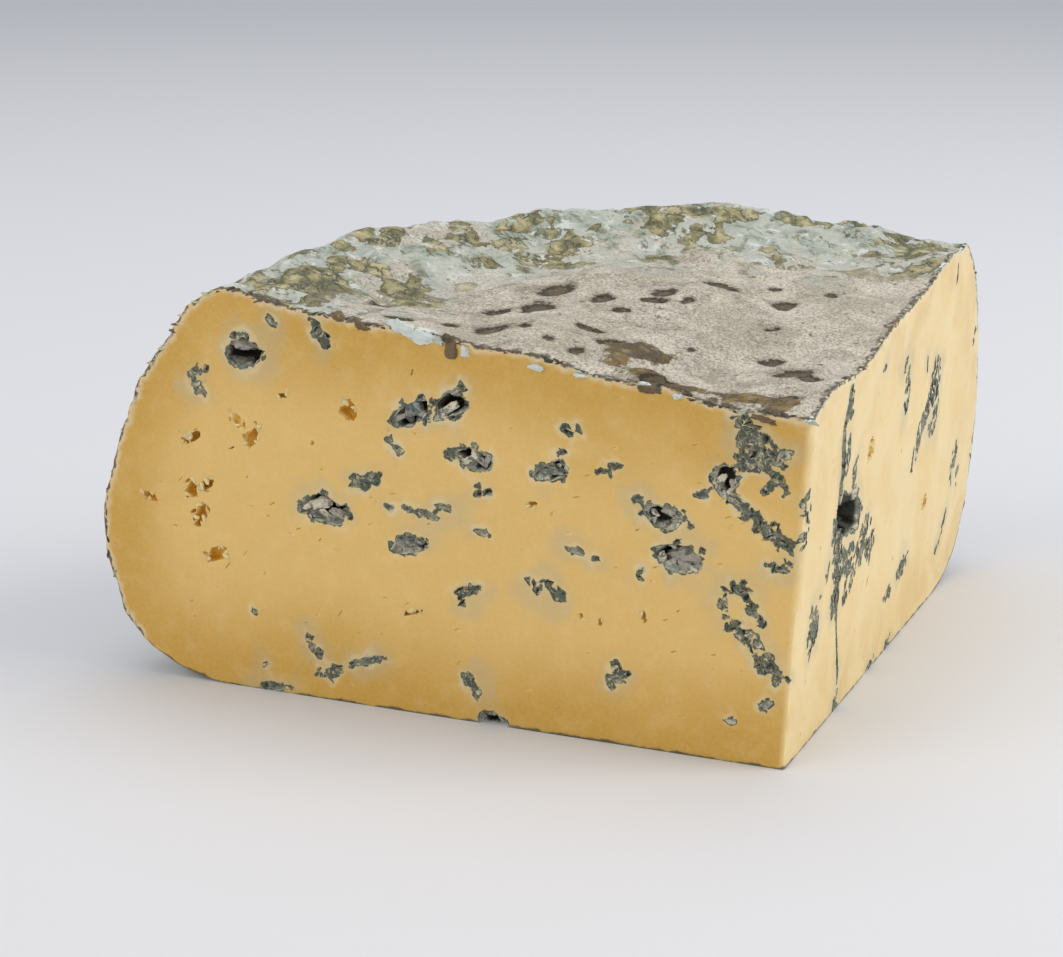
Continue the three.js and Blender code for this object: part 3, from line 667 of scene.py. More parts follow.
def cut_hollows(body, rng):
    """Opens every hollow, tear and crack in the body with one cut."""
    crumbs = []
    for hollows, axes, place, material in (
        (FRONT_HOLLOWS, FRONT_AXES, front_place, MOULD),
        (FRONT_TEARS, FRONT_AXES, front_place, TORN),
        (RIGHT_HOLLOWS, RIGHT_AXES, right_place, MOULD),
        (RIGHT_TEARS, RIGHT_AXES, right_place, TORN),
    ):
        for hollow in hollows:
            crumbs += hollow_crumbs(rng, hollow, axes, place, material)
    crumbs += crack_crumbs(rng, FISSURE, FISSURE_DEPTH, RIGHT_AXES, right_place)
    crumbs += scattered_nicks(rng)
    crumbs += crack_crumbs(rng, CORNER_VEIN, CORNER_VEIN_DEPTH, FRONT_AXES, front_place)
    cutters = bpy.data.collections.new("cut away")
    bpy.context.scene.collection.children.link(cutters)
    for mesh in crumbs:
        for _ in range(TORN + 1):
            mesh.materials.append(None)
        cutters.objects.link(bpy.data.objects.new("cut away", mesh))
    cut = body.modifiers.new("hollows", "BOOLEAN")
    cut.operation = "DIFFERENCE"
    cut.operand_type = "COLLECTION"
    cut.collection = cutters
    cut.solver = "MANIFOLD"
    depsgraph = bpy.context.evaluated_depsgraph_get()
    result = bpy.data.meshes.new_from_object(body.evaluated_get(depsgraph))
    body.modifiers.clear()
    body.data = result
    for piece in list(cutters.objects):
        mesh = piece.data
        bpy.data.objects.remove(piece)
        bpy.data.meshes.remove(mesh)
    bpy.data.collections.remove(cutters)


def scattered_nicks(rng):
    """Small fresh nicks that the knife left all over the two cuts."""
    nicks = []
    for axes, place, count, turn in (
        (FRONT_AXES, front_place, 70, 20),
        (RIGHT_AXES, right_place, 60, 80),
    ):
        for _ in range(count):
            from_corner, up = rng.uniform(3, 80), rng.uniform(2, 38)
            length = rng.uniform(0.3, 1.3)
            tilt = turn + rng.uniform(-40, 40)
            nick = (from_corner, up, length, length * rng.uniform(0.2, 0.5), tilt, 0.35)
            spot = place(from_corner, up, 0.0)
            size = (nick[2] / 2, nick[3] / 2, nick[5])
            nicks.append(crumb(rng, size, tilt, axes, spot, 1, TORN, 0.2))
    return nicks


def curd_pieces(rng):
    """Slabs of curd left standing in the mould hollows, from pale 0 to mouldy 1."""
    bits = []
    for hollows, axes, place in (
        (FRONT_HOLLOWS, FRONT_AXES, front_place),
        (RIGHT_HOLLOWS, RIGHT_AXES, right_place),
    ):
        for hollow in hollows:
            _, _, long, wide, turn, deep = hollow
            if deep > 4.4:
                continue
            for _ in range(int(long * wide / 4.6 + 0.4)):
                u, v = rng.uniform(-0.4, 0.4) * long, rng.uniform(-0.36, 0.36) * wide
                length = min(1.1, wide * rng.uniform(0.12, 0.3))
                size = (length, length * rng.uniform(0.3, 0.7), length * rng.uniform(0.25, 0.5))
                inwards = length * rng.uniform(0.45, 0.9) + rng.uniform(0.0, 0.22) * deep
                spot = hollow_spot(hollow, axes, place, u, v, inwards)
                spot.z = max(spot.z, length + 0.1)
                tilt = turn + rng.uniform(-70, 70)
                mesh = crumb(rng, size, tilt, axes, spot, 3, 0, 0.26, rng.uniform(-50, 50))
                bits.append((mesh, rng.uniform(0, 1)))
    for from_corner, up, long, wide, turn, inwards, shade in CURD_SLABS:
        size = (0.56 * long, 0.56 * wide, min(0.9, 0.9 * inwards))
        spot = front_place(from_corner, up, inwards + 0.12)
        tumble = rng.uniform(-22, 22)
        bits.append((crumb(rng, size, turn, FRONT_AXES, spot, 4, 0, 0.3, tumble), shade))
    return bits


def flake_pieces(rng):
    """Pale flakes of paste that the knife left standing at the fresh tears."""
    flakes = []
    for tears, axes, place in (
        (FRONT_TEARS, FRONT_AXES, front_place),
        (RIGHT_TEARS, RIGHT_AXES, right_place),
    ):
        for tear in tears:
            _, _, long, wide, turn, _ = tear
            for _ in range(int(0.4 + 1.7 * long * min(1.0, wide / 1.4))):
                around = rng.uniform(0, 2 * math.pi)
                u = math.cos(around) * long / 2 * rng.uniform(0.55, 1.15)
                v = math.sin(around) * wide / 2 * rng.uniform(0.55, 1.15)
                length = rng.uniform(0.3, 0.9)
                size = (length, length * rng.uniform(0.3, 0.6), length * 0.35)
                spot = hollow_spot(tear, axes, place, u, v, size[2] * rng.uniform(0.6, 0.85))
                tilt = rng.uniform(0, 180)
                mesh = crumb(rng, size, tilt, axes, spot, 2, 0, 0.14, rng.uniform(-20, 20))
                flakes.append((mesh, rng.uniform(0, 1)))
    return flakes


def rind_pieces(rng, mesh, cube):
    """Bits of broken rind along the edges of the cuts, by shade: 0 white to 1 black green."""
    points = coordinates(mesh)
    a, b, c = cube.T
    top, rim = c > 1 - 1e-6, (a > 1 - 1e-6) | (b > 1 - 1e-6)
    bits = []
    for on_edge, axes, share in (
        (top & (b < 1e-6), FRONT_AXES, 0.7),
        (rim & (b < 1e-6) & (c > 0.02), FRONT_AXES, 0.25),
        (top & (a < 1e-6), RIGHT_AXES, 0.75),
        (rim & (a < 1e-6) & (c > 0.02), RIGHT_AXES, 0.25),
    ):
        inward = Vector((0, 1, 0)) if axes is FRONT_AXES else Vector((-1, 0, 0))
        edge = np.flatnonzero(on_edge)
        middle = front_place(50, 24, 0) if axes is FRONT_AXES else right_place(50, 24, 0)
        for index in edge:
            here = Vector(points[index])
            run = 0.62 + 0.9 * noise.fractal(here / 4.5, 1.0, 2.0, 3)
            run -= 0.35 if axes is RIGHT_AXES and here.y > 8 else 0.0
            for _ in range(2):
                if rng.random() > share:
                    continue
                length = rng.uniform(0.25, 0.9)
                size = (length, rng.uniform(0.1, 0.26), 0.3)
                towards = Vector((0, 0, -1)) if share > 0.5 else (middle - here).normalized()
                spot = here + towards * rng.uniform(0.05, 0.4) + inward * rng.uniform(0.2, 0.28)
                across = towards.x if axes is FRONT_AXES else towards.y
                tilt = math.degrees(math.atan2(towards.z, across)) + 90 + rng.gauss(0, 14)
                bit = crumb(rng, size, tilt, axes, spot, 2, 0, 0.2, rng.uniform(-15, 15))
                bits.append((bit, min(1, max(0, run + rng.uniform(-0.2, 0.2)))))
    for from_corner, up, long, wide, turn, shade in RIND_LUMPS:
        size = (long / 2, wide / 2, 0.8)
        spot = front_place(from_corner, up, 0.4)
        tumble = rng.uniform(-12, 12)
        bits.append((crumb(rng, size, turn, FRONT_AXES, spot, 4, 0, 0.26, tumble), shade))
    return bits


def joined(name, bits):
    """One object from many small meshes, with each one's shade kept on its vertices."""
    bm = bmesh.new()
    shade = bm.verts.layers.float.new("shade")
    for mesh, value in bits:
        start = len(bm.verts)
        bm.from_mesh(mesh)
        bm.verts.ensure_lookup_table()
        for index in range(start, len(bm.verts)):
            bm.verts[index][shade] = value
        bpy.data.meshes.remove(mesh)
    mesh = bpy.data.meshes.new(name)
    bm.to_mesh(mesh)
    bm.free()
    made = bpy.data.objects.new(name, mesh)
    bpy.context.scene.collection.objects.link(made)
    return made


def put_attribute(mesh, name, values):
    attribute = mesh.attributes.new(name, "FLOAT", "POINT")
    attribute.data.foreach_set("value", np.asarray(values, np.float32))


def distance_to(points, targets):
    """Distance from each point to the nearest target."""
    tree = kdtree.KDTree(len(targets))
    for index, target in enumerate(targets):
        tree.insert(target, index)
    tree.balance()
    return np.array([tree.find(point)[2] for point in points])


def cut_depth(points):
    """How far each point lies behind the nearer of the two cuts."""
    behind_front = points[:, 1]
    lean = LEAN_AT_TOP * points[:, 2] / LEAN_HEIGHT
    slope = math.cos(QUARTER_ANGLE) / math.sin(QUARTER_ANGLE)
    behind_right = lean - slope * points[:, 1] - points[:, 0]
    return np.minimum(behind_front, behind_right)


def mark_body(mesh, rind_edge, foot_edge):
    """Measures that the materials read: distances to mould, rind and cuts, depths and spots."""
    points = coordinates(mesh)
    materials = np.empty(len(mesh.polygons), int)
    mesh.polygons.foreach_get("material_index", materials)
    has = {kind: np.zeros(len(points), bool) for kind in range(TORN + 1)}
    for polygon, kind in zip(mesh.polygons, materials):
        has[kind][list(polygon.vertices)] = True
    depth = cut_depth(points)
    put_attribute(mesh, "depth", depth)
    put_attribute(mesh, "behind_front", points[:, 1])
    edge = points[has[MOULD] & (depth < 0.4)]
    put_attribute(mesh, "to_mould", distance_to(points, edge))
    put_attribute(mesh, "to_rind", distance_to(points, rind_edge))
    put_attribute(mesh, "to_foot", distance_to(points, foot_edge))
    put_attribute(mesh, "to_tear", distance_to(points, points[has[TORN] & (depth < 0.4)]))
    skin = has[RIND]
    spots = np.full(len(points), -1.0)
    bare = np.full(len(points), -1.0)
    spots[skin] = spot_field(points[skin], DARK_SPOTS, 0.12, 2.0)
    bare[skin] = spot_field(points[skin], BARE_PATCHES, 0.25, 3.0)
    put_attribute(mesh, "dark_spot", spots)
    put_attribute(mesh, "bare_patch", bare)
    put_attribute(mesh, "from_axis", np.hypot(points[:, 0], points[:, 1]))
    lean = LEAN_AT_TOP * points[:, 2] / LEAN_HEIGHT
    slope = math.cos(QUARTER_ANGLE) / math.sin(QUARTER_ANGLE)
    put_attribute(mesh, "on_right", smooth_step(-0.6, -0.1, points[:, 0] + slope * points[:, 1] - lean))


def linear(hex_colour):
    """An sRGB hex colour as linear red, green, blue and alpha."""
    values = []
    for start in (1, 3, 5):
        level = int(hex_colour[start:start + 2], 16) / 255
        values.append(level / 12.92 if level <= 0.04045 else ((level + 0.055) / 1.055) ** 2.4)
    return (*values, 1.0)


def add(tree, kind, inputs=None, **settings):
    """Adds a node with its settings, and sets or links its inputs."""
    made = tree.nodes.new(kind)
    for name, value in settings.items():
        setattr(made, name, value)
    for name, value in (inputs or {}).items():
        if isinstance(value, bpy.types.NodeSocket):
            tree.links.new(value, made.inputs[name])
        else:
            made.inputs[name].default_value = value
    return made


def new_material(name):
    material = bpy.data.materials.new(name)
    material.use_nodes = True
    material.node_tree.nodes.clear()
    return material, material.node_tree


def measure(tree, name):
    """A measure stored on the piece, in millimetres."""
    return add(tree, "ShaderNodeAttribute", attribute_name=name).outputs["Fac"]


def lumps(tree, place, size_mm, detail=3.0, roughness=0.55, distortion=0.0):
    """Noise whose lumps are about size_mm wide, from 0 to 1."""
    return add(tree, "ShaderNodeTexNoise", {
        "Vector": place, "Scale": 1 / (size_mm * MM), "Detail": detail,
        "Roughness": roughness, "Distortion": distortion,
    }).outputs["Fac"]


def maths(tree, operation, first, second=0.0, third=0.0):
    made = add(tree, "ShaderNodeMath", {0: first, 1: second, 2: third}, operation=operation)
    return made.outputs[0]


def between(tree, value, low, high, out_low=0.0, out_high=1.0):
    """Eases from out_low at low to out_high at high."""
    return add(tree, "ShaderNodeMapRange", {
        "Value": value, "From Min": low, "From Max": high, "To Min": out_low, "To Max": out_high,
    }, interpolation_type="SMOOTHSTEP").outputs["Result"]


def blend(tree, share, first, second):
    """Mixes two colours, each a hex value or a socket."""
    colours = {
        name: linear(value) if isinstance(value, str) else value
        for name, value in ((6, first), (7, second))
    }
    made = add(tree, "ShaderNodeMix", {0: share, **colours}, data_type="RGBA")
    return made.outputs[2]


def finish_material(tree, bump_height, bump_mm, **shader):
    """The surface shader, with relief from a height that stands for bump_mm millimetres."""
    relief = add(tree, "ShaderNodeBump", {
        "Height": bump_height, "Distance": bump_mm * MM, "Strength": 1.0,
    })
    inputs = {name.replace("_", " "): value for name, value in shader.items()}
    surface = add(tree, "ShaderNodeBsdfPrincipled", {"Normal": relief.outputs[0], **inputs})
    add(tree, "ShaderNodeOutputMaterial", {"Surface": surface.outputs[0]})


def paste_material():
    """Cut cheese paste: moist, fatty and slightly see-through, golden, pale under the rind and
    tinged cream and blue-green round the mould."""
    material, tree = new_material("cut blue cheese paste")
    place = add(tree, "ShaderNodeTexCoord").outputs["Object"]
    broad = lumps(tree, place, 22, 2)
    fine = lumps(tree, place, 2.6, 5)
    nearest = maths(tree, "MINIMUM", measure(tree, "to_rind"), measure(tree, "to_foot"))
    inner = maths(tree, "MULTIPLY_ADD", broad, 14.0, maths(tree, "SUBTRACT", nearest, 7.0))
    golden = blend(tree, between(tree, inner, 1.0, 15.0), "#cb9f3f", "#e1bb6d")
    golden = blend(tree, between(tree, fine, 0.45, 0.75, 0.0, 0.18), golden, "#ecd297")
    golden = blend(tree, between(tree, lumps(tree, place, 0.5, 3), 0.3, 0.7, 0.0, 0.06), golden, "#fff0c8")
    # Painted light: the right cut is painted paler in patches for the window light falling on it, and partly for
    # a paler, drier paste.
    right_cut_painted_light = between(tree, lumps(tree, place, 9, 4, 0.6, 0.5), 0.35, 0.65, 0.55, 0.92)
    golden = blend(tree, maths(tree, "MULTIPLY", measure(tree, "on_right"), right_cut_painted_light), golden, "#ecd6a1")
    edge = maths(tree, "MULTIPLY_ADD", lumps(tree, place, 1.4, 4), -1.8, measure(tree, "to_rind"))
    golden = blend(tree, between(tree, edge, -0.8, 0.3, 0.6, 0.0), golden, "#e6dcbf")
    golden = blend(tree, between(tree, edge, -0.85, -0.55, 0.95, 0.0), golden, "#4c4a35")
    foot = maths(tree, "MULTIPLY_ADD", lumps(tree, place, 2.4, 4), -1.3, measure(tree, "to_foot"))
    golden = blend(tree, between(tree, foot, -0.6, -0.3, 0.9, 0.0), golden, "#4a4a37")
    bruise = maths(tree, "MULTIPLY_ADD", lumps(tree, place, 8, 4), -11.0, measure(tree, "to_mould"))
    golden = blend(tree, between(tree, bruise, -6.0, -3.5, 0.35, 0.0), golden, "#b9b294")
    tinge = maths(tree, "MULTIPLY_ADD", lumps(tree, place, 2.6, 5), -3.4, measure(tree, "to_mould"))
    some = between(tree, lumps(tree, place, 7, 2), 0.42, 0.6, 0.15, 0.6)
    halo = maths(tree, "MULTIPLY", between(tree, tinge, -2.0, -0.8, 0.8, 0.0), some)
    golden = blend(tree, halo, golden, "#e4d8b2")
    halo = maths(tree, "MULTIPLY", between(tree, tinge, -2.2, -1.6, 1.0, 0.0), some)
    golden = blend(tree, halo, golden, "#9aa598")
    stain = maths(tree, "MULTIPLY_ADD", lumps(tree, place, 0.7, 5), -1.0, measure(tree, "to_mould"))
    golden = blend(tree, between(tree, stain, -0.48, -0.34, 0.95, 0.0), golden, "#36463f")
    pits = between(tree, lumps(tree, place, 0.9, 3), 0.68, 0.8, 0.0, -2.0)
    relief = maths(tree, "ADD", lumps(tree, place, 0.4, 3), pits)
    finish_material(
        tree, relief, 0.04, Base_Color=golden, Roughness=0.45, IOR=1.45,
        Subsurface_Weight=0.35, Subsurface_Radius=(1.0, 0.6, 0.2), Subsurface_Scale=0.0016,
        Coat_Weight=0.1, Coat_Roughness=0.3,
    )
    return material


def torn_material():
    """Paste inside a fresh tear: the same cheese, deeper in colour where light sinks into it."""
    material, tree = new_material("torn blue cheese paste")
    place = add(tree, "ShaderNodeTexCoord").outputs["Object"]
    deep = between(tree, measure(tree, "depth"), 0.1, 1.1)
    colour = blend(tree, deep, "#f4dc9c", "#e9bb4a")
    finish_material(
        tree, lumps(tree, place, 0.5, 3), 0.08, Base_Color=colour, Roughness=0.4, IOR=1.45,
        Subsurface_Weight=0.4, Subsurface_Radius=(1.0, 0.8, 0.25), Subsurface_Scale=0.001,
    )
    return material


def flake_material():
    """Thin flakes of paste, dried pale."""
    material, tree = new_material("dried paste flakes")
    place = add(tree, "ShaderNodeTexCoord").outputs["Object"]
    colour = blend(tree, measure(tree, "shade"), "#ecd49b", "#dfbd75")
    finish_material(
        tree, lumps(tree, place, 0.4, 3), 0.06, Base_Color=colour, Roughness=0.5,
        Subsurface_Weight=0.35, Subsurface_Radius=(1.0, 0.6, 0.2), Subsurface_Scale=0.001,
    )
    return material


def mould_material():
    """Lining of the hollows: blue mould, dry and velvety, grey lilac with black green edges."""
    material, tree = new_material("blue mould lining")
    place = add(tree, "ShaderNodeTexCoord").outputs["Object"]
    depth = measure(tree, "depth")
    patch = lumps(tree, place, 1.3, 4, 0.6, 0.4)
    fur = lumps(tree, place, 0.35, 3)
    # Painted light and shade: the lining is lighter in shallow nicks and darker deeper in, by depth alone.
    shallow_painted_lighter = blend(tree, between(tree, patch, 0.42, 0.58), "#a9b0a1", "#ebe3c9")
    colour = blend(tree, between(tree, patch, 0.4, 0.6), "#92968a", "#d3cbb8")
    colour = blend(tree, between(tree, depth, 0.35, 0.9), shallow_painted_lighter, colour)
    colour = blend(tree, between(tree, fur, 0.48, 0.66, 0.0, 0.45), colour, "#64807a")
    streak = lumps(tree, place, 0.9, 4, 0.65, 0.8)
    colour = blend(tree, between(tree, streak, 0.56, 0.63, 0.0, 0.9), colour, "#2c352f")
    rim = maths(tree, "MULTIPLY_ADD", patch, -0.7, depth)
    colour = blend(tree, between(tree, rim, -0.38, -0.22, 0.92, 0.0), colour, "#25372f")
    # Painted shade: deep inside the hollows the lining darkens to brown black. It darkens sooner and greener in
    # the hollows of the right cut, even though they face the window light.
    on_right = between(tree, measure(tree, "behind_front"), 4.8, 6.5, 1.0, 2.2)
    shade = maths(tree, "MULTIPLY", depth, on_right)
    painted_deep_shade = blend(tree, between(tree, on_right, 1.2, 2.0), "#3a2d24", "#31352b")
    colour = blend(tree, between(tree, shade, 0.8, 1.9, 0.0, 0.88), colour, painted_deep_shade)
    finish_material(tree, fur, 0.12, Base_Color=colour, Roughness=0.85, Specular_IOR_Level=0.25)
    return material


def curd_material():
    """Bits of curd in the hollows: crumbly paste dusted with pale grey and blue-green mould."""
    material, tree = new_material("curd dusted with mould")
    place = add(tree, "ShaderNodeTexCoord").outputs["Object"]
    shade = measure(tree, "shade")
    patch = lumps(tree, place, 0.7, 4, 0.6)
    mouldy = maths(tree, "MULTIPLY_ADD", patch, 1.0, maths(tree, "SUBTRACT", shade, 0.5))
    colour = blend(tree, between(tree, mouldy, 0.2, 0.6), "#d8d0b8", "#a59e93")
    colour = blend(tree, between(tree, mouldy, 0.72, 0.98), colour, "#5b6c64")
    colour = blend(tree, between(tree, lumps(tree, place, 1.0, 4, 0.7), 0.54, 0.62, 0.0, 0.8), colour, "#3f4a43")
    finish_material(
        tree, lumps(tree, place, 0.35, 3), 0.1, Base_Color=colour, Roughness=0.75,
        Subsurface_Weight=0.15, Subsurface_Radius=(1.0, 0.7, 0.4), Subsurface_Scale=0.0008,
    )
    return material


def broken_rind_material():
    """Broken rind at the cuts: white and mint bloom, cream curd, brown skin, black green mould."""
    material, tree = new_material("broken rind")
    place = add(tree, "ShaderNodeTexCoord").outputs["Object"]
    ragged = maths(tree, "MULTIPLY_ADD", lumps(tree, place, 0.9, 4), 0.3, -0.15)
    shade = maths(tree, "ADD", measure(tree, "shade"), ragged)
    colour = blend(tree, between(tree, shade, 0.1, 0.25), "#cfd6d0", "#a3ae9d")
    colour = blend(tree, between(tree, shade, 0.28, 0.36), colour, "#c9bd93")
    colour = blend(tree, between(tree, shade, 0.42, 0.5), colour, "#6f5b40")
    colour = blend(tree, between(tree, shade, 0.66, 0.76), colour, "#393a2e")
    finish_material(
        tree, lumps(tree, place, 0.4, 3), 0.1, Base_Color=colour, Roughness=0.7,
        Subsurface_Weight=0.1, Subsurface_Radius=(1.0, 0.7, 0.4), Subsurface_Scale=0.0008,
    )
    return material


def rind_material():
    """Natural rind: dry powdery bloom, beige on the top and white to mint near the rim, over bare
    olive skin and sunken dark spots."""
    material, tree = new_material("natural rind with powdery bloom")
    place = add(tree, "ShaderNodeTexCoord").outputs["Object"]
    powder = lumps(tree, place, 0.36, 5, 0.75)
    cloud = lumps(tree, place, 8, 5, 0.62, 0.6)
    beige = blend(tree, between(tree, cloud, 0.38, 0.62), "#d9d0c0", "#b5ad9b")
    beige = blend(tree, between(tree, powder, 0.49, 0.6, 0.0, 0.85), beige, "#857360")
    beige = blend(tree, between(tree, powder, 0.4, 0.46, 0.6, 0.0), beige, "#e2dcd2")
    marble = lumps(tree, place, 4.5, 7, 0.68, 0.7)
    rim = blend(tree, between(tree, marble, 0.44, 0.58), "#c3c6bc", "#a3aca0")
    rim = blend(tree, between(tree, marble, 0.55, 0.63, 0.0, 0.9), rim, "#7d8169")
    rim = blend(tree, between(tree, marble, 0.62, 0.68, 0.0, 0.9), rim, "#56553f")
    rim = blend(tree, between(tree, powder, 0.5, 0.66, 0.0, 0.4), rim, "#9b9076")
    drift = lumps(tree, place, 13, 5, 0.6, 0.5)
    rim = blend(tree, between(tree, drift, 0.5, 0.6, 0.0, 0.75), rim, beige)
    fleck = lumps(tree, place, 2.4, 5, 0.65)
    rim = blend(tree, between(tree, fleck, 0.56, 0.64, 0.0, 0.8), rim, "#dde0da")
    green = lumps(tree, place, 1.8, 6, 0.7, 0.6)
    rim = blend(tree, between(tree, green, 0.57, 0.65, 0.0, 0.8), rim, "#5f6c58")
    rim = blend(tree, between(tree, green, 0.33, 0.41, 0.55, 0.0), rim, "#a99a86")
    warp = add(tree, "ShaderNodeTexNoise", {
        "Vector": place, "Scale": 1 / (2.2 * MM), "Detail": 6.0, "Roughness": 0.62,
    }).outputs["Color"]
    warped = add(tree, "ShaderNodeVectorMath", {
        0: warp, 1: (4.2 * MM, 4.2 * MM, 4.2 * MM), 2: place,
    }, operation="MULTIPLY_ADD").outputs[0]
    cell_size = {"Vector": warped, "Scale": 1 / (2.7 * MM), "Randomness": 1.0}
    cells = add(
        tree, "ShaderNodeTexVoronoi", cell_size, feature="DISTANCE_TO_EDGE"
    ).outputs["Distance"]
    chance = add(tree, "ShaderNodeTexVoronoi", cell_size, feature="F1").outputs["Color"]
    crowd = lumps(tree, place, 11, 4, 0.6, 0.4)
    crowd = maths(tree, "ADD", crowd, between(tree, measure(tree, "bare_patch"), -0.3, 0.3, 0.0, 0.12))
    islands = maths(tree, "MULTIPLY_ADD", chance, 0.42, crowd)
    domed = between(tree, islands, 0.75, 0.77)
    tone = lumps(tree, place, 3.0, 6, 0.7)
    dome = blend(tree, between(tree, tone, 0.4, 0.54), "#77744f", "#9c9468")
    # Painted light on the domes: the cream flecks and lighter middles are painted highlights, and the dark
    # outlines are painted shade in the creases between the domes.
    dome = blend(tree, between(tree, tone, 0.5, 0.6), dome, "#cfc59c")
    dome = blend(tree, between(tree, cells, 0.12, 0.34, 0.0, 0.4), dome, "#c4b57f")
    painted_crease_shade = maths(tree, "MULTIPLY_ADD", fleck, 0.22, cells)
    dome = blend(tree, between(tree, painted_crease_shade, 0.12, 0.2, 0.95, 0.0), dome, "#434737")
    rim = blend(tree, maths(tree, "MULTIPLY", domed, 0.92), rim, dome)
    ridge = maths(tree, "MULTIPLY_ADD", cloud, 14.0, measure(tree, "from_axis"))
    ridge = maths(tree, "ABSOLUTE", maths(tree, "SUBTRACT", ridge, 79.5))
    rim = blend(tree, between(tree, ridge, 0.3, 1.4, 0.8, 0.0), rim, "#dfe1dc")
    zone = maths(tree, "MULTIPLY_ADD", cloud, 40.0, measure(tree, "from_axis"))
    colour = blend(tree, between(tree, zone, 68, 80), beige, rim)
    ragged = maths(tree, "MULTIPLY_ADD", lumps(tree, place, 1.4, 6, 0.75), 1.3, -0.65)
    broken = maths(tree, "MULTIPLY_ADD", lumps(tree, place, 4.0, 4), 1.8, -1.0)
    bare = maths(tree, "ADD", measure(tree, "bare_patch"), maths(tree, "ADD", ragged, broken))
    brown = blend(tree, between(tree, marble, 0.42, 0.58), "#7c6436", "#4a3a20")
    brown = blend(tree, between(tree, fleck, 0.5, 0.62, 0.0, 0.8), brown, "#93854f")
    near_axis = between(tree, measure(tree, "from_axis"), 30, 40, 0.9, 0.0)
    bare = maths(tree, "MULTIPLY", between(tree, bare, 0.0, 0.2), near_axis)
    colour = blend(tree, bare, colour, brown)
    small_ragged = maths(tree, "MULTIPLY_ADD", ragged, 1.1, measure(tree, "dark_spot"))
    colour = blend(tree, between(tree, small_ragged, -0.2, 0.15, 0.0, 0.55), colour, "#7a6a55")
    colour = blend(tree, between(tree, small_ragged, 0.12, 0.24, 0.0, 0.95), colour, "#3a3025")
    colour = blend(tree, between(tree, small_ragged, 0.42, 0.62, 0.0, 0.8), colour, "#6b5c46")
    speck = lumps(tree, place, 1.7, 5, 0.6)
    colour = blend(tree, between(tree, speck, 0.63, 0.70, 0.0, 0.75), colour, "#5d4f3f")
    dusted = between(tree, powder, 0.5, 0.7, 0.0, 0.35)
    dusted = maths(tree, "MULTIPLY", dusted, between(tree, bare, 0.0, 0.9, 1.0, 0.2))
    colour = blend(tree, dusted, colour, "#c9c4b8")
    edge = maths(tree, "MULTIPLY_ADD", lumps(tree, place, 1.6, 5, 0.65), -5.0, measure(tree, "to_rind"))
    colour = blend(tree, between(tree, edge, -2.4, -1.7, 0.85, 0.0), colour, "#54463a")
    colour = blend(tree, between(tree, edge, -3.1, -2.7, 0.7, 0.0), colour, "#b9c0b4")
    pillow = maths(tree, "MULTIPLY", between(tree, cells, 0.0, 0.3), domed)
    uneven = maths(tree, "MULTIPLY_ADD", pillow, 1.5, maths(tree, "ADD", powder, marble))
    finish_material(
        tree, uneven, 0.24, Base_Color=colour, Roughness=0.85,
        Specular_IOR_Level=0.3,
        Subsurface_Weight=0.06, Subsurface_Radius=(1.0, 0.6, 0.3), Subsurface_Scale=0.0015,
    )
    return material


def floor_material():
    """A plain pale painted surface, matt and even."""
    material, tree = new_material("plain pale floor")
    place = add(tree, "ShaderNodeTexCoord").outputs["Object"]
    finish_material(tree, lumps(tree, place, 6), 0.02, Base_Color=linear("#d9d9dc"), Roughness=0.7)
    return material


def build_cheese(rng):
    mesh, cube = quarter_block()
    radius, _ = shape_body(mesh, cube)
    rind_relief(mesh, cube, radius)
    points = coordinates(mesh)
    a, b, c = cube.T
    cut = (b < 1e-6) | (a < 1e-6)
    rind_edge = points[cut & ((c > 1 - 1e-6) | (a > 1 - 1e-6) | (b > 1 - 1e-6))]
    foot_edge = points[cut & (c < 1e-6)]
    body = bpy.data.objects.new("cheese_body", mesh)
    bpy.context.scene.collection.objects.link(body)
    for _ in range(TORN + 1):
        mesh.materials.append(None)
    rind_bits = joined("broken_rind", rind_pieces(rng, mesh, cube))
    cut_hollows(body, rng)
    mark_body(body.data, rind_edge, foot_edge)
    materials = (paste_material(), rind_material(), mould_material(), torn_material())
    for place, material in enumerate(materials):
        body.data.materials[place] = material
    body.data.shade_smooth()
    body.data.set_sharp_from_angle(angle=math.radians(40))
    curd = joined("curd_in_hollows", curd_pieces(rng))
    flakes = joined("paste_flakes", flake_pieces(rng))
    for piece, material in (
        (curd, curd_material()),
        (flakes, flake_material()),
        (rind_bits, broken_rind_material()),
    ):
        piece.data.materials.append(material)
        piece.data.set_sharp_from_angle(angle=math.radians(40))
    return body, curd, flakes, rind_bits


def settle(pieces):
    """Fits the pieces in the solid's box in the row frame, and turns millimetres to metres."""
    points = np.concatenate([coordinates(piece.data) for piece in pieces])
    low, high = points.min(axis=0), points.max(axis=0)
    cad_low, cad_high = cad_box
    size = np.array(cad_high) - np.array(cad_low)
    shrink = np.minimum(MM, 0.9995 * size / (high - low))
    low_corner = (np.array(cad_low) + np.array(cad_high)) / 2 - (low + high) / 2 * shrink
    low_corner[2] = -low[2] * shrink[2]
    to_row = Matrix.Translation(low_corner) @ Matrix.Diagonal((*shrink, 1))
    for piece in pieces:
        piece.data.transform(to_row)
    return to_row


def build_floor():
    bm = bmesh.new()
    bmesh.ops.create_grid(bm, x_segments=1, y_segments=1, size=3.0)
    mesh = bpy.data.meshes.new("floor")
    bm.to_mesh(mesh)
    bm.free()
    floor = bpy.data.objects.new("floor", mesh)
    bpy.context.scene.collection.objects.link(floor)
    floor.data.materials.append(floor_material())


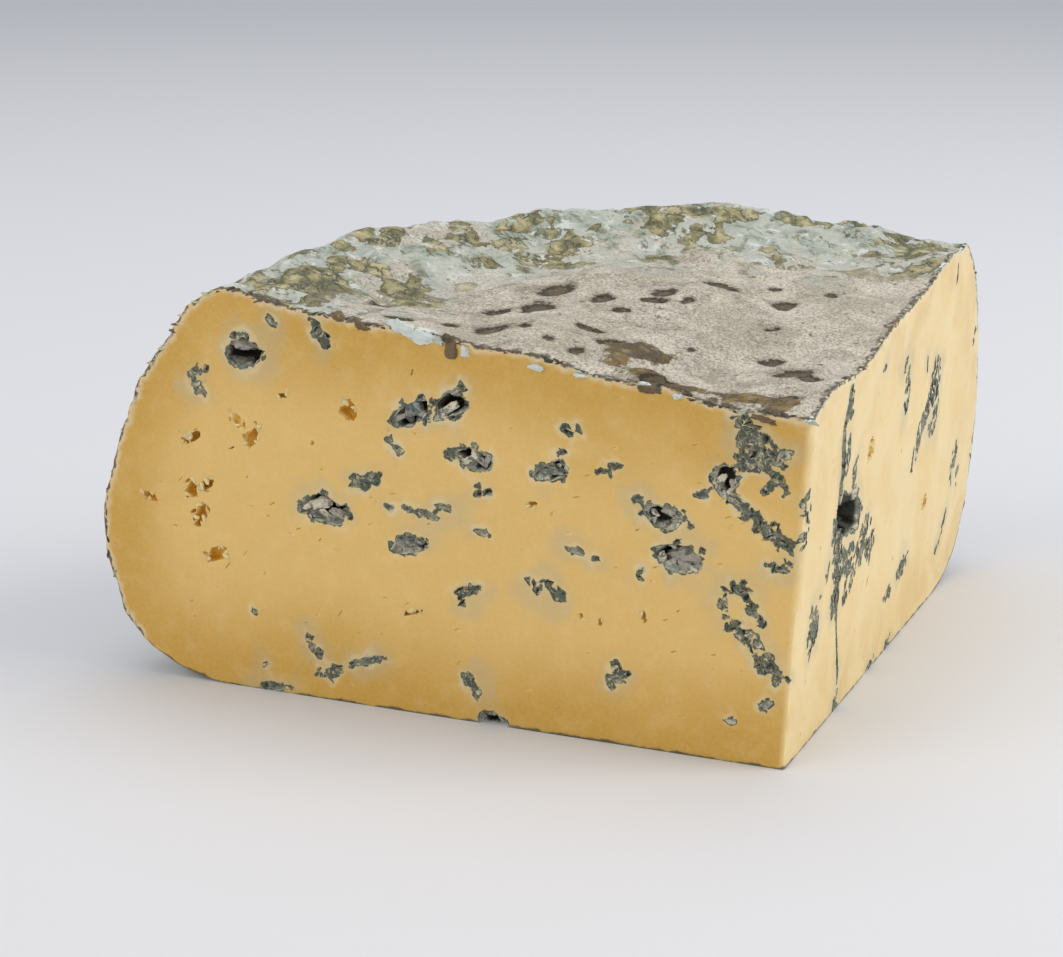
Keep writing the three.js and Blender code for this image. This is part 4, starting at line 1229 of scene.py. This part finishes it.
def add_light(name, place, target, size, power, colour):
    light = bpy.data.lights.new(name, "AREA")
    light.size = size
    light.energy = power
    light.color = linear(colour)[:3]
    lamp = bpy.data.objects.new(name, light)
    lamp.location = place
    lamp.rotation_euler = (Vector(target) - Vector(place)).to_track_quat("-Z", "Y").to_euler()
    bpy.context.scene.collection.objects.link(lamp)


def build_lights():
    """Soft window light from the right and above, with a weak pale fill all round."""
    target = (0, 0, 0.02)
    add_light("window", (0.75, 0.15, 0.55), target, 0.5, 4.4, "#fffaf2")
    add_light("overhead", (-0.15, 0.25, 0.9), target, 0.8, 2.2, "#f7faff")
    add_light("front fill", (-0.5, -0.8, 0.5), target, 0.8, 3.4, "#fff8ee")
    world = bpy.data.worlds.new("studio")
    world.use_nodes = True
    background = world.node_tree.nodes["Background"]
    background.inputs["Color"].default_value = linear("#e8ecf2")
    background.inputs["Strength"].default_value = 0.68
    bpy.context.scene.world = world


# The photograph's camera, worked out from the outlines of the two cuts: its place in the wheel
# frame, its turn from straight along +Y, its tilt down and its focal length in pixels
CAMERA_PLACE = Vector((75.8, -244.3, 101.5))
CAMERA_TURN = math.radians(23.5)
CAMERA_TILT = math.radians(14.9)
FOCAL_PIXELS = 2400
PHOTO_WIDTH = 1063
SENSOR_WIDTH = 36.0


def build_camera(to_row):
    camera = bpy.data.cameras.new("camera")
    camera.sensor_width = SENSOR_WIDTH
    camera.lens = FOCAL_PIXELS / PHOTO_WIDTH * SENSOR_WIDTH
    camera.clip_start = 0.01
    camera.clip_end = 20
    holder = bpy.data.objects.new("camera", camera)
    holder.location = to_row @ CAMERA_PLACE
    holder.rotation_euler = (math.pi / 2 - CAMERA_TILT, 0, CAMERA_TURN)
    bpy.context.scene.collection.objects.link(holder)
    bpy.context.scene.camera = holder


pieces = build_cheese(random.Random(7))
to_row = settle(pieces)
build_camera(to_row)
build_floor()
build_lights()
for piece in pieces:
    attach(piece, "root")
    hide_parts("cheese")
bpy.context.scene.view_settings.view_transform = "Standard"
